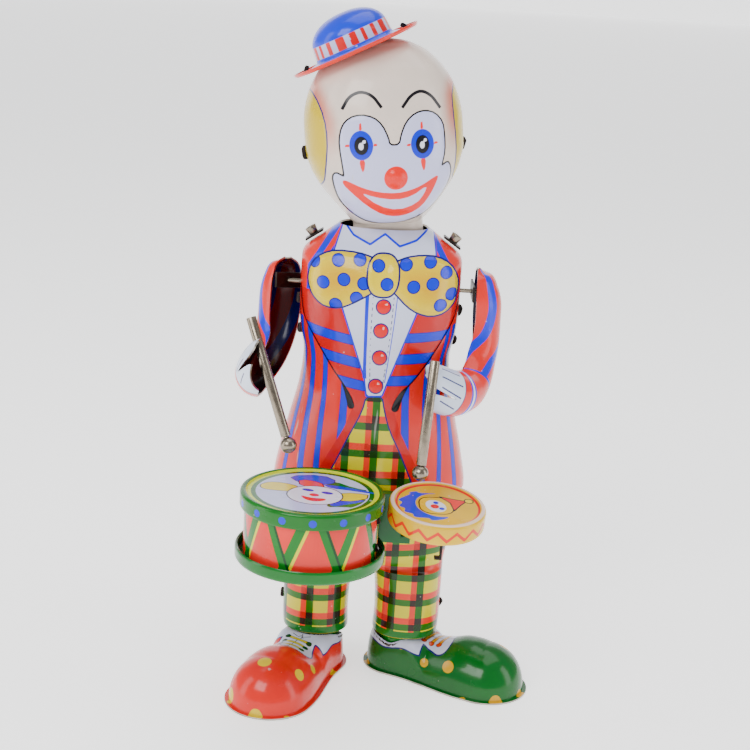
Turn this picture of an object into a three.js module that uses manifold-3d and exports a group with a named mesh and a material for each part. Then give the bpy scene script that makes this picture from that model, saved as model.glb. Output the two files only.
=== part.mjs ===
// Lithographed tin wind-up clown drummer.
// Millimetres, +Z up, -Y is the clown's front and +X its left side.
// Two printed half shells make the body, two more make the head. A spring motor between
// two plates turns a crank; a rocker carries its motion to both arm axles and to the head.
import * as THREE from 'three';
import { mergeVertices } from 'three/addons/utils/BufferGeometryUtils.js';
import Module from 'manifold-3d';

const wasm = await Module();
wasm.setup();

// ---- driving dimensions ----
const TIN = 0.8;                  // wall of every pressing
const GAP = 0.3;                  // clearance between neighbouring pieces
const DEGREE = Math.PI / 180;
const ROUNDNESS = 2.3;            // exponent of the body's rounded cross-section

// height, half width, depth to the front, depth to the back
const TORSO = [
  [40.5, 27.0, 13.0, 13.0], [46, 27.8, 15.0, 14.0], [56, 28.2, 16.5, 15.5], [66, 28.5, 18.0, 17.0],
  [68, 32.0, 21.0, 20.0], [78, 30.4, 22.5, 19.5], [90, 27.6, 22.8, 18.6], [101, 25.0, 21.8, 17.8],
  [112, 24.0, 20.5, 17.2], [120, 25.4, 20.0, 17.0], [132, 26.0, 19.2, 16.6], [141, 26.0, 17.4, 15.6],
  [144.3, 25.6, 16.2, 15.0], [146.8, 23.6, 15.0, 14.2], [150.0, 19.2, 12.8, 12.4],
  [153.4, 15.7, 11.0, 11.0],
];
// height, centre from the middle, half width, depth to the front and back
const LEG = [
  [8, 15.1, 8.9, 9.4], [13, 15.2, 9.6, 10.0], [16, 15.4, 11.0, 11.4], [22, 15.7, 11.2, 12.0],
  [34, 15.4, 11.6, 12.8], [40, 14.8, 12.2, 13.0], [44, 14.2, 13.0, 13.2],
];
// height over the head pivot, half width, depth to the front, depth to the back
const HEAD = [
  [-1.0, 9.5, 9.0, 9.0], [5.4, 9.5, 9.0, 9.0], [6.4, 11.0, 13.5, 10.0], [9.3, 13.6, 18.5, 13.0],
  [13.3, 17.5, 21.5, 16.0], [18.3, 21.2, 23.0, 19.5], [23.3, 23.6, 23.8, 22.0], [29.3, 25.0, 24.2, 24.0],
  [36.3, 25.0, 23.8, 24.5], [44.3, 23.8, 22.5, 23.5], [51.3, 20.7, 20.0, 20.5], [56.3, 16.5, 16.5, 16.5],
  [59.8, 11.5, 11.5, 11.5], [61.7, 6.0, 6.0, 6.0], [62.3, 1.0, 1.0, 1.0],
];
const HEAD_PIVOT = new THREE.Vector3(1.6, 0, 150);
const HEAD_LEAN = 6.3;            // degrees towards the clown's right at rest
const HEAD_TURN = 6.5;            // degrees towards the clown's left
const HAT_CENTRE = new THREE.Vector3(-11.5, 0, 206.6);
const HAT_TILT = 26.9;
const BRIM_RADIUS = 20.6;
const CROWN_RADIUS = 12.5;
const CROWN_HEIGHT = 13.6;

const ARM_PIVOT = new THREE.Vector3(31, 0, 133.5);
// left arm, measured from its pivot: x, y, z; half width; depth; turn of the outer side to the front
const ARM = [
  [0.3, 1.0, 7.6, 1.6, 1.2, 0], [0.0, 1.0, 6.2, 5.2, 4.4, 0], [0.0, 1.0, 2.0, 7.9, 7.2, 0],
  [0.2, 1.2, -6.0, 8.8, 8.8, 0], [0.3, 0.6, -15.0, 8.6, 8.8, 3], [-0.2, -2.6, -22.0, 8.0, 8.4, 10],
  [-1.0, -8.4, -27.2, 7.4, 7.8, 20], [-3.0, -14.5, -29.6, 7.2, 7.4, 32], [-6.0, -20.2, -29.2, 7.5, 7.2, 42],
  [-10.0, -25.4, -27.0, 7.2, 6.5, 46], [-14.5, -30.4, -24.2, 6.0, 5.0, 46],
  [-18.3, -34.0, -21.8, 3.2, 2.6, 46],
];
const RAISED_ARM = { turn: 32, lift: 10 };
const STICK_RADIUS = 1.55;
const BEAD_RADIUS = 2.5;
const STICKS = {
  left: [new THREE.Vector3(18.0, -35.2, 118.3), new THREE.Vector3(15.6, -42.5, 84.6)],
  right: [new THREE.Vector3(-38.7, -33.6, 128.0), new THREE.Vector3(-24.9, -44.6, 91.6)],
};
const BEAD_NECK = 0.085;          // share of the stick that the bead takes up
const STRAP = { wide: 15, high: 5, inward: 0.9, back: 1 };
const WIRE_RADIUS = 0.7;
const CRANK_REACH = 9;            // from the arm axis forward to the rocker
const CRANK_X = 16;
const ARM_STEP = 8;               // degrees each arm stands above or below its middle position

const DRUM = { x: -16.8, y: -45, top: 77.9, bottom: 56, rim: 22.2, shell: 20.7, tray: 23.2 };
const SMALL_DRUM = { x: 21.9, y: -40, top: 74.3, radius: 15.2, height: 6.5, forward: 8, aside: 3 };

const SHOE = { heel: 10.2, toe: 13.2, spacing: 33, flange: 1.3, sole: 0.8 };
const POCKET = { across: 11.0, along: 11.2, floor: 7, under: 6, high: 20 };  // for the trouser leg
const FEET = {
  left: { ankle: [15.1, 0], heel: [13.4, 0.8], heading: 65 },
  right: { ankle: [-15.1, 0], heel: [-15.4, -2.0], heading: -23 },
};

const PLATE = { half: 17, low: 78, high: 126, front: -4.5, back: 9.5, thick: 1 };
const PILLAR = { body: 1.6, end: 0.9, out: 0.6 };
const SPRING = { turns: 5, steps: 75, outer: 11.4, thick: 0.4, back: 7.6, wide: 5.4 };
const MODULE = 0.5;               // gear tooth size
const GREAT_TEETH = 48;
const SECOND_TEETH = 40;
const PINION_TEETH = 10;
const ARBOR_RADIUS = 0.8;
const WINDING = { x: 0, z: 92, radius: 1.5 };
const ROCKER = { z: 133.5, tilt: 4.5, y: -8.5, thick: 1 };
const KEY_END = 39;

// ---- helpers ----
const paint = (color, roughness = 0.35, metalness = 0.1) =>
  new THREE.MeshStandardMaterial({ color, roughness, metalness });

const toSolid = (geometry) => {
  const bare = geometry.clone();
  for (const name of Object.keys(bare.attributes)) {
    if (name !== 'position') bare.deleteAttribute(name);
  }
  const merged = mergeVertices(bare, 1e-4);
  return new wasm.Manifold(new wasm.Mesh({
    numProp: 3,
    vertProperties: new Float32Array(merged.attributes.position.array),
    triVerts: new Uint32Array(merged.index.array),
  }));
};

const toGeometry = (solid) => {
  const mesh = solid.getMesh();
  const geometry = new THREE.BufferGeometry();
  geometry.setAttribute('position', new THREE.BufferAttribute(mesh.vertProperties, 3));
  geometry.setIndex(new THREE.BufferAttribute(mesh.triVerts, 1));
  return geometry;
};

const join = (...geometries) => toGeometry(
  geometries.map(toSolid).reduce((whole, piece) => whole.add(piece)));
const cut = (geometry, ...tools) => toGeometry(
  tools.map(toSolid).reduce((whole, tool) => whole.subtract(tool), toSolid(geometry)));
const common = (first, second) => toGeometry(toSolid(first).intersect(toSolid(second)));

const signedVolume = (points, faces) => faces.reduce((sum, [a, b, c]) =>
  sum + points[a].dot(new THREE.Vector3().crossVectors(points[b], points[c])), 0);

// Skins a row of closed rings that all have the same number of points, and caps both ends.
const loft = (rings, strip = false) => {
  const count = rings[0].length;
  const points = rings.flat();
  const faces = [];
  for (let r = 0; r < rings.length - 1; r += 1) {
    for (let i = 0; i < count; i += 1) {
      const a = r * count + i;
      const b = r * count + (i + 1) % count;
      faces.push([a, b, b + count], [a, b + count, a + count]);
    }
  }
  const last = (rings.length - 1) * count;
  const cap = (a, b, c) => faces.push([a, c, b], [last + a, last + b, last + c]);
  if (strip) {
    for (let i = 0; i < count / 2 - 1; i += 1) {
      cap(i, i + 1, count - 2 - i);
      cap(i, count - 2 - i, count - 1 - i);
    }
  } else {
    for (let i = 1; i < count - 1; i += 1) cap(0, i, i + 1);
  }
  if (signedVolume(points, faces) < 0) faces.forEach((face) => face.reverse());
  const geometry = new THREE.BufferGeometry().setFromPoints(points);
  geometry.setIndex(faces.flat());
  return geometry;
};

// A rounded ring: half width across, and its own depth to the front and to the back.
const roundedRing = (x, z, half, front, back, count = 20) => {
  const power = 2 / ROUNDNESS;
  return Array.from({ length: count }, (_, i) => {
    const angle = (i / count) * 2 * Math.PI;
    const across = Math.sign(Math.cos(angle)) * Math.abs(Math.cos(angle)) ** power;
    const along = Math.sign(Math.sin(angle)) * Math.abs(Math.sin(angle)) ** power;
    return new THREE.Vector3(x + half * across, (along < 0 ? front : back) * along, z);
  });
};

const torsoSolid = (inset) => loft(TORSO.map(([z, half, front, back], i) => roundedRing(
  0, z + (i === 0 ? inset : 0) + (i === TORSO.length - 1 ? inset : 0),
  half - inset, front - inset, back - inset)));
const legSolid = (side, inset) => loft(LEG.map(([z, x, half, depth], i) => roundedRing(
  side * x, z - (i === 0 ? inset : 0), half - inset, depth - inset, depth - inset, 14)));
const headSolid = (inset) => loft(HEAD.map(([z, half, front, back], i) => roundedRing(
  0, z - (i === 0 ? inset : 0) - (i === HEAD.length - 1 ? inset : 0),
  Math.max(half - inset, 0.3), Math.max(front - inset, 0.3), Math.max(back - inset, 0.3))));

const widthAt = (stations, z) => {
  const above = Math.max(1, stations.findIndex((station) => station[0] >= z));
  const [z0, w0] = stations[above - 1];
  const [z1, w1] = stations[above];
  return w0 + (w1 - w0) * (z - z0) / (z1 - z0);
};

const box = (x, y, z, width, depth, height) =>
  new THREE.BoxGeometry(width, depth, height).translate(x, y, z);
const rodY = (x, z, radius, front, back, sides = 16) =>
  new THREE.CylinderGeometry(radius, radius, back - front, sides).translate(x, (front + back) / 2, z);
const rodZ = (x, y, radius, low, high, sides = 16) =>
  new THREE.CylinderGeometry(radius, radius, high - low, sides)
    .rotateX(Math.PI / 2).translate(x, y, (low + high) / 2);
const rodX = (y, z, radius, from, to, sides = 16) =>
  new THREE.CylinderGeometry(radius, radius, Math.abs(to - from), sides)
    .rotateZ(Math.PI / 2).translate((from + to) / 2, y, z);
const ball = (x, y, z, radius) => new THREE.SphereGeometry(radius, 12, 7).translate(x, y, z);
const rodBetween = (start, end, radius, sides = 12) => {
  const middle = start.clone().add(end).multiplyScalar(0.5);
  const along = end.clone().sub(start);
  const turn = new THREE.Quaternion().setFromUnitVectors(
    new THREE.Vector3(0, 1, 0), along.clone().normalize());
  return new THREE.CylinderGeometry(radius, radius, along.length(), sides)
    .applyQuaternion(turn).translate(...middle.toArray());
};
// A flat plate drawn in x and z that stands across y, its back face at the given y.
const plateY = (shape, back, thick) => new THREE.ExtrudeGeometry(
  shape, { depth: thick, bevelEnabled: false, curveSegments: 6 })
  .rotateX(Math.PI / 2).translate(0, back, 0);
const outline = (corners) => {
  const points = corners.map(([x, z]) => new THREE.Vector2(x, z));
  return new THREE.Shape(THREE.ShapeUtils.isClockWise(points) ? points.reverse() : points);
};
const hole = (shape, x, z, radius) => {
  shape.holes.push(new THREE.Path().absarc(x, z, radius, 0, 2 * Math.PI, true));
  return shape;
};
// Turns a profile of radius and height about z; the profile runs anticlockwise for outward faces.
const turned = (profile, segments = 24) => {
  const corners = profile.map(([r, z]) => new THREE.Vector2(r, z));
  if (THREE.ShapeUtils.area(corners) < 0) corners.reverse();
  return new THREE.LatheGeometry(corners, segments).rotateX(Math.PI / 2);
};
const toy = new THREE.Group();
const add = (parent, name, geometry, material) => {
  const mesh = new THREE.Mesh(geometry, material);
  mesh.name = name;
  parent.add(mesh);
  return mesh;
};
const group = (parent, position) => {
  const made = new THREE.Group();
  made.position.copy(position);
  parent.add(made);
  return made;
};

// ---- materials ----
const coat = paint(0xd23a34);
const headTin = paint(0xd9cdd6);
const hatBlue = paint(0x1c55e0);
const sleeve = paint(0xf0574c);
const nickel = paint(0x8c857c, 0.3, 0.9);
const darkSteel = paint(0x2b2826, 0.45, 0.7);
const brass = paint(0xc09a4a, 0.35, 0.9);
const plateSteel = paint(0xa9acb0, 0.4, 0.9);

// ---- body shells ----
const BIG = 400;                  // larger than the toy either way
const frontHalf = box(0, -BIG / 2 - GAP / 2, 0, BIG, BIG, BIG);
const backHalf = box(0, BIG / 2 + GAP / 2, 0, BIG, BIG, BIG);
const bodyHollow = cut(
  join(torsoSolid(0), legSolid(1, 0), legSolid(-1, 0)),
  join(torsoSolid(TIN), legSolid(1, TIN), legSolid(-1, TIN)));
// side, height, length of each twisted seam tab
const BODY_TABS = [[-1, 118, 3], [1, 117, 3], [1, 126, 4], [-1, 60, 3], [1, 60, 3]];
const LEG_TABS = [[-1, 24, 4], [1, 24, 4]];
const TAB = { wide: 3.2, thick: 0.8, out: 0.4 };
const LEG_SEAM = 26.9;            // from the middle to the outer seam of a leg
const seamTab = (side, z, length, reach, grow) => box(
  side * (reach + TAB.out), 0, z, TAB.wide + grow, TAB.thick + grow, length + grow);
const tabs = (grow) => [
  ...BODY_TABS.map(([side, z, length]) => seamTab(side, z, length, widthAt(TORSO, z), grow)),
  ...LEG_TABS.map(([side, z, length]) => seamTab(side, z, length, LEG_SEAM, grow)),
];
const axleHole = rodX(0, ARM_PIVOT.z, WIRE_RADIUS + 0.6, -40, 40);
const keyHole = rodY(WINDING.x, WINDING.z, 3.4, 5, 30);
const bodyFront = cut(common(bodyHollow, frontHalf), axleHole, ...tabs(2 * GAP));
const bodyBack = cut(join(common(bodyHollow, backHalf), ...tabs(0)), axleHole, keyHole);
add(toy, 'body_front', bodyFront, coat);
add(toy, 'body_back', bodyBack, coat);

// ---- shoulder rivets: each stands square to the shoulder on a dark washer ----
const SHOULDER = { x: 21.6, z: 148.2, slope: 34 };
const WASHER = { x: 6.0, y: 4.4, thick: 0.6, middle: 1.1, hole: 1.0 };
const RIVET = { radius: 1.75, low: 1.7, high: 4.7 };
for (const [side, name] of [[1, 'left'], [-1, 'right']]) {
  const seat = group(toy, new THREE.Vector3(side * SHOULDER.x, 0, SHOULDER.z));
  seat.rotation.y = side * SHOULDER.slope * DEGREE;
  add(seat, `${name}_shoulder_washer`, cut(
    box(0, 0, WASHER.middle, WASHER.x, WASHER.y, WASHER.thick), rodZ(0, 0, WASHER.hole, 0, 3)), darkSteel);
  add(seat, `${name}_shoulder_rivet`, rodZ(0, 0, RIVET.radius, RIVET.low, RIVET.high), nickel);
}

// ---- shoes ----
// place along the foot, in heel radii behind the ankle and in even steps before it; height of the top
const SHOE_HEIGHTS = [
  [-1.0, 1.0], [-0.93, 5.0], [-0.7, 9.2], [-0.3, 11.8], [0.2, 13.2], [0.7, 13.0], [1.1, 12.2], [1.6, 12.6],
  [2.1, 14.2], [2.6, 15.0], [3.1, 14.2], [3.55, 11.8], [3.9, 8.0], [4.1, 4.6], [4.19, 1.0],
];
const shoeWidth = (u) => {
  const share = THREE.MathUtils.clamp(u / SHOE.spacing, 0, 1);
  return SHOE.heel + (SHOE.toe - SHOE.heel) * THREE.MathUtils.smoothstep(share, 0.15, 0.9);
};
// Heel and toe are round; the sides between them are smooth.
const shoeHalfWidth = (u) => {
  if (u < 0) return Math.sqrt(Math.max(0, SHOE.heel ** 2 - u ** 2));
  const past = u - SHOE.spacing;
  if (past > 0) return Math.sqrt(Math.max(0, SHOE.toe ** 2 - past ** 2));
  return shoeWidth(u);
};
const shoeLoft = (inset) => {
  const rings = [];
  const first = -SHOE.heel + inset;
  const end = SHOE.spacing + SHOE.toe - inset;
  const scale = (SHOE.spacing + SHOE.toe) / SHOE_HEIGHTS.at(-1)[0];
  for (const [place, height] of SHOE_HEIGHTS) {
    const along = place < 0 ? place * SHOE.heel : place * scale;
    const u = THREE.MathUtils.clamp(along, first, end);
    const half = Math.max(shoeHalfWidth(along) - inset, 0.4);
    const top = Math.max(height - inset, 0.4);
    const base = inset > 0 ? -2 : 0;
    rings.push(Array.from({ length: 11 }, (_, i) => {
      const angle = (i / 10) * Math.PI;
      const rise = Math.sin(angle) ** 0.75;
      return new THREE.Vector3(half * Math.cos(angle), -u, base + (top - base) * rise);
    }));
  }
  return loft(rings);
};
const soleOutline = (grow) => {
  const shape = new THREE.Shape();
  const side = Array.from({ length: 7 }, (_, i) => {
    const u = (i / 6) * SHOE.spacing;
    return [shoeWidth(u) + grow, -u];
  });
  const arc = (radius, centre, from) => Array.from({ length: 11 }, (_, i) => {
    const angle = from + ((i + 1) / 12) * Math.PI;
    return [radius * Math.cos(angle), centre + radius * Math.sin(angle)];
  });
  const points = [
    ...arc(SHOE.heel + grow, 0, 0),
    ...side.map(([x, y]) => [-x, y]),
    ...arc(SHOE.toe + grow, -SHOE.spacing, Math.PI),
    ...side.reverse(),
  ];
  points.forEach(([x, y], i) => (i ? shape.lineTo(x, y) : shape.moveTo(x, y)));
  return shape;
};
const makeShoe = (ankle) => {
  const pocket = (grow, low) => new THREE.CylinderGeometry(1, 1, POCKET.high, 18).rotateX(Math.PI / 2)
    .scale(POCKET.across + grow, POCKET.along + grow, 1)
    .translate(ankle.x, ankle.y, low + POCKET.high / 2);
  const sole = new THREE.ExtrudeGeometry(
    soleOutline(SHOE.flange), { depth: SHOE.sole, bevelEnabled: false });
  const inside = cut(shoeLoft(TIN), pocket(TIN, POCKET.under));
  return cut(join(shoeLoft(0), sole), inside, pocket(0, POCKET.floor));
};
for (const [name, foot] of Object.entries(FEET)) {
  const spot = group(toy, new THREE.Vector3(foot.heel[0], foot.heel[1], 0));
  spot.rotation.z = foot.heading * DEGREE;
  const ankle = new THREE.Vector3(foot.ankle[0] - foot.heel[0], foot.ankle[1] - foot.heel[1], 0)
    .applyAxisAngle(new THREE.Vector3(0, 0, 1), -foot.heading * DEGREE);
  add(spot, `${name}_shoe`, makeShoe(ankle), paint(name === 'left' ? 0x0f6b35 : 0xe8503f));
}

// ---- arms ----
const armRings = (stations, shellWall) => stations.map(([x, y, z, half, depth, turn], i) => {
  const before = stations[Math.max(i - 1, 0)];
  const after = stations[Math.min(i + 1, stations.length - 1)];
  const along = new THREE.Vector3(...after).sub(new THREE.Vector3(...before)).normalize();
  const out = new THREE.Vector3(Math.cos(turn * DEGREE), -Math.sin(turn * DEGREE), 0);
  out.addScaledVector(along, -out.dot(along)).normalize();
  const across = new THREE.Vector3().crossVectors(along, out);
  const arc = (inset) => Array.from({ length: 11 }, (_, k) => {
    const angle = (k / 10) * Math.PI;
    return new THREE.Vector3(x, y, z)
      .addScaledVector(across, (half - inset) * Math.cos(angle))
      .addScaledVector(out, (depth - inset) * Math.sin(angle));
  });
  return [...arc(0), ...arc(Math.min(shellWall, 0.75 * depth)).reverse()];
});

const mirrorX = (geometry) => {
  const copy = geometry.clone().scale(-1, 1, 1);
  const index = copy.index.array;
  for (let i = 0; i < index.length; i += 3) [index[i], index[i + 2]] = [index[i + 2], index[i]];
  return copy;
};

const makeArm = (side, name) => {
  const pivot = new THREE.Vector3(side * ARM_PIVOT.x, ARM_PIVOT.y, ARM_PIVOT.z);
  const pose = new THREE.Euler(
    side < 0 ? -RAISED_ARM.lift * DEGREE : 0, 0, side < 0 ? -RAISED_ARM.turn * DEGREE : 0, 'XYZ');
  const shell = loft(armRings(ARM, TIN), true);
  const placed = (side < 0 ? mirrorX(shell) : shell)
    .applyMatrix4(new THREE.Matrix4().makeRotationFromEuler(pose)).translate(...pivot.toArray());
  const [top, tip] = STICKS[name];
  const passage = rodBetween(top, tip, STICK_RADIUS + GAP, 12);
  add(toy, `${name}_arm`, cut(placed, passage), sleeve);

  const neck = tip.clone().lerp(top, BEAD_NECK);
  add(toy, `${name}_drumstick`, rodBetween(top, neck, STICK_RADIUS), nickel);
  add(toy, `${name}_stick_bead`, ball(tip.x, tip.y, tip.z, BEAD_RADIUS), nickel);

  const strap = box(-side * STRAP.inward, STRAP.back, 0, TIN, STRAP.wide, STRAP.high)
    .applyMatrix4(new THREE.Matrix4().makeRotationFromEuler(pose)).translate(...pivot.toArray());
  add(toy, `${name}_arm_bracket`, cut(
    strap, rodX(0, ARM_PIVOT.z, WIRE_RADIUS + GAP, -45, 45, 12)), darkSteel);

  const slope = -side * ARM_STEP * DEGREE;
  const reach = CRANK_REACH + 1.6;
  const tipPoint = [side * CRANK_X, -reach * Math.cos(slope), ARM_PIVOT.z + reach * Math.sin(slope)];
  const bend = [side * CRANK_X, 0, ARM_PIVOT.z];
  const outer = [side * (ARM_PIVOT.x + 1.2), 0, ARM_PIVOT.z];
  add(toy, `${name}_arm_axle`, join(
    rodBetween(new THREE.Vector3(...outer), new THREE.Vector3(...bend), WIRE_RADIUS, 10),
    ball(...bend, WIRE_RADIUS * 1.15),
    rodBetween(new THREE.Vector3(...bend), new THREE.Vector3(...tipPoint), WIRE_RADIUS, 10)), nickel);
};
makeArm(1, 'left');
makeArm(-1, 'right');

// ---- drum and small drum ----
const drumPlace = group(toy, new THREE.Vector3(DRUM.x, DRUM.y, 0));
add(drumPlace, 'drum_head', turned([
  [0, DRUM.top - 0.5], [DRUM.rim - 2.2, DRUM.top - 0.5],
  [DRUM.rim - 1.5, DRUM.top], [DRUM.rim - 0.4, DRUM.top],
  [DRUM.rim, DRUM.top - 0.6], [DRUM.rim, DRUM.top - 4.8], [DRUM.rim - TIN, DRUM.top - 4.8],
  [DRUM.rim - TIN, DRUM.top - 1.3], [0, DRUM.top - 1.3],
]), paint(0x12803a));
add(drumPlace, 'drum_shell', turned([
  [DRUM.shell - TIN, DRUM.bottom + 1.2], [DRUM.shell, DRUM.bottom + 1.2], [DRUM.shell, DRUM.top - 1.7],
  [DRUM.shell - TIN, DRUM.top - 1.7], [DRUM.shell - TIN, DRUM.bottom + 1.2],
]), paint(0xf2584c));
add(drumPlace, 'drum_tray', turned([
  [0, DRUM.bottom], [DRUM.tray - 0.6, DRUM.bottom],
  [DRUM.tray, DRUM.bottom + 0.7], [DRUM.tray, DRUM.bottom + 4.4],
  [DRUM.tray - TIN, DRUM.bottom + 4.4], [DRUM.tray - TIN, DRUM.bottom + 0.9], [0, DRUM.bottom + 0.9],
]), paint(0x12803a));

const small = SMALL_DRUM;
const smallPlace = group(toy, new THREE.Vector3(small.x, small.y, small.top));
smallPlace.rotation.set(small.forward * DEGREE, small.aside * DEGREE, 0);
add(smallPlace, 'small_drum', turned([
  [0, -0.6], [small.radius - 2, -0.6], [small.radius - 1.2, 0], [small.radius - 0.4, 0],
  [small.radius, -0.7], [small.radius, -small.height], [small.radius - TIN, -small.height],
  [small.radius - TIN, -1.4], [0, -1.4],
]), paint(0xf2b21c));

// ---- folded bracket that carries both drums ----
const BRACKET = { face: -24.6, low: 54.4, fold: 71, shelf: 63.4 };
add(toy, 'instrument_bracket', join(
  plateY(outline([
    [-2, 52], [6, BRACKET.low], [14.5, BRACKET.low], [14.5, BRACKET.fold], [-2, BRACKET.fold],
  ]), BRACKET.face, TIN),
  box(6.2, BRACKET.face + 0.9, BRACKET.fold - TIN / 2, 14, 3.4, TIN),
  box(-4.5, BRACKET.face - 8, BRACKET.low + 0.4, 18, 17, TIN),
  box(18.5, BRACKET.face - 9, BRACKET.shelf, 15, 19, TIN),
  box(small.x, small.y, BRACKET.shelf + 3.7, 5, TIN, 7.6),
  box(small.x, small.y - 1.6, BRACKET.shelf + 7.3, 5, 4, TIN)), paint(0x12803a));
add(toy, 'small_drum_hook', join(
  box(small.x + 2.2, small.y + 4, 58.4, TIN, 2.2, 8),
  box(small.x + 1.4, small.y + 4, 54.6, 2.4, 2.2, TIN)), darkSteel);

// ---- motor ----
const toothedWheel = (teeth, bore, turn, toothShare = 0.22) => {
  const pitch = teeth * MODULE / 2;
  const root = pitch - 0.62 * MODULE * 1.9;
  const tip = pitch + 0.75 * MODULE;
  const step = (2 * Math.PI) / teeth;
  const shape = new THREE.Shape();
  for (let i = 0; i < teeth; i += 1) {
    const middle = turn + i * step;
    const corners = [
      [root, -toothShare * 1.5], [tip, -toothShare * 0.5], [tip, toothShare * 0.5], [root, toothShare * 1.5],
    ];
    corners.forEach(([radius, share], k) => {
      const angle = middle + share * step;
      const spot = [radius * Math.cos(angle), radius * Math.sin(angle)];
      if (i === 0 && k === 0) shape.moveTo(...spot);
      else shape.lineTo(...spot);
    });
  }
  return bore > 0 ? hole(shape, 0, 0, bore) : shape;
};
const great = GREAT_TEETH * MODULE / 2;
const second = SECOND_TEETH * MODULE / 2;
const pinion = PINION_TEETH * MODULE / 2;
const MESH_EASE = 0.12;
const secondAngle = 60 * DEGREE;
const secondReach = great + pinion + MESH_EASE;
const secondSpot = new THREE.Vector2(WINDING.x, WINDING.z).add(
  new THREE.Vector2(Math.cos(secondAngle), Math.sin(secondAngle)).multiplyScalar(secondReach));
const crankReach = second + pinion + MESH_EASE;
const crankAngle = Math.PI - Math.acos(secondSpot.x / crankReach);
const crankSpot = secondSpot.clone().add(
  new THREE.Vector2(Math.cos(crankAngle), Math.sin(crankAngle)).multiplyScalar(crankReach));
const halfTooth = Math.PI / PINION_TEETH;

const platePins = [[-14, 82], [14, 82], [-14, 122.5], [14, 122.5]];
const plateShape = (high) => {
  const { half, low } = PLATE;
  const shape = high
    ? outline([[-half, low], [half, low], [half, PLATE.high], [5, PLATE.high], [5, high], [-2, high],
      [-2, PLATE.high], [-half, PLATE.high]])
    : outline([[-half, low], [half, low], [half, PLATE.high], [-half, PLATE.high]]);
  hole(shape, WINDING.x, WINDING.z, WINDING.radius + GAP);
  hole(shape, secondSpot.x, secondSpot.y, ARBOR_RADIUS + GAP);
  hole(shape, crankSpot.x, crankSpot.y, ARBOR_RADIUS + GAP);
  platePins.forEach(([x, z]) => hole(shape, x, z, PILLAR.end + GAP));
  return shape;
};
const frontPlateShape = hole(hole(plateShape(154), 0, ROCKER.z, ARBOR_RADIUS + GAP),
  HEAD_PIVOT.x, HEAD_PIVOT.z, ARBOR_RADIUS + GAP);
const palletSpot = new THREE.Vector2(0, crankSpot.y + 8.6);
add(toy, 'motor_front_plate', plateY(frontPlateShape, PLATE.front, PLATE.thick), plateSteel);
add(toy, 'motor_back_plate', plateY(
  hole(plateShape(0), palletSpot.x, palletSpot.y, ARBOR_RADIUS + GAP), PLATE.back, PLATE.thick), plateSteel);
platePins.forEach(([x, z], i) => add(toy, `motor_pillar_${i + 1}`, join(
  rodY(x, z, PILLAR.body, PLATE.front + GAP, PLATE.back - PLATE.thick - GAP, 12),
  rodY(x, z, PILLAR.end, PLATE.front - PLATE.thick - PILLAR.out, PLATE.back + PILLAR.out, 12)), plateSteel));

const windingArbor = join(
  rodY(WINDING.x, WINDING.z, WINDING.radius, PLATE.front - PLATE.thick - 0.8, 23),
  rodY(WINDING.x, WINDING.z, WINDING.radius + 0.8, 2.2, 7.6));
add(toy, 'winding_arbor', windingArbor, plateSteel);
const wheelAt = (shape, x, z, back, thick) => plateY(shape, back, thick).translate(x, 0, z);
add(toy, 'great_wheel', wheelAt(
  toothedWheel(GREAT_TEETH, WINDING.radius + GAP, secondAngle), WINDING.x, WINDING.z, 1, 1), brass);
const springOutline = () => {
  const inner = WINDING.radius + 0.8 + GAP;
  const strip = (shift) => Array.from({ length: SPRING.steps + 1 }, (_, i) => {
    const share = i / SPRING.steps;
    const radius = inner + (SPRING.outer - inner) * share + shift;
    const angle = share * SPRING.turns * 2 * Math.PI;
    return [WINDING.x + radius * Math.cos(angle), WINDING.z + radius * Math.sin(angle)];
  });
  return outline([...strip(SPRING.thick), ...strip(0).reverse()]);
};
add(toy, 'mainspring', plateY(springOutline(), SPRING.back, SPRING.wide), paint(0x4b4f5a, 0.35, 0.9));

const arbor = (spot, back, gearBack, gearThick, gearTurn) => join(
  rodY(spot.x, spot.y, ARBOR_RADIUS, PLATE.front - PLATE.thick - 0.6, back, 12),
  wheelAt(toothedWheel(PINION_TEETH, 0, gearTurn), spot.x, spot.y, gearBack, gearThick));
add(toy, 'second_arbor', arbor(
  secondSpot, PLATE.back + 0.6, 1.6, 2.2, secondAngle + Math.PI + halfTooth), plateSteel);
add(toy, 'second_wheel', wheelAt(
  toothedWheel(SECOND_TEETH, ARBOR_RADIUS + GAP, crankAngle),
  secondSpot.x, secondSpot.y, -1.4, 0.8), brass);
add(toy, 'crank_arbor', arbor(
  crankSpot, PLATE.back + 0.6, -1.0, 1.8, crankAngle + Math.PI + halfTooth), plateSteel);

const ESCAPE = { teeth: 12, root: 3.6, tip: 5.4, back: 4, thick: 0.8 };
const escapeShape = new THREE.Shape(Array.from({ length: ESCAPE.teeth * 2 }, (_, i) => {
  const angle = (i * Math.PI) / ESCAPE.teeth + Math.PI / 2 + (i % 2 ? 0.12 : 0);
  const radius = i % 2 ? ESCAPE.root : ESCAPE.tip;
  return new THREE.Vector2(radius * Math.cos(angle), radius * Math.sin(angle));
}));
add(toy, 'escape_wheel', wheelAt(
  hole(escapeShape, 0, 0, ARBOR_RADIUS + GAP),
  crankSpot.x, crankSpot.y, ESCAPE.back, ESCAPE.thick), brass);
const palletShape = hole(outline([
  [-6.2, -2.6], [-4.8, -4.2], [-4.0, -2.4], [-1.8, -2.0], [1.8, -2.0], [4.0, -2.4], [4.8, -4.2],
  [6.2, -2.6], [5.2, 0.6], [1.8, 2.2], [-1.8, 2.2], [-5.2, 0.6],
]), 0, 0, ARBOR_RADIUS + GAP);
add(toy, 'pallet', wheelAt(palletShape, palletSpot.x, palletSpot.y, ESCAPE.back, ESCAPE.thick), plateSteel);
add(toy, 'pallet_arbor', rodY(
  palletSpot.x, palletSpot.y, ARBOR_RADIUS, 1.6, PLATE.back + 0.6, 12), plateSteel);

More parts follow.
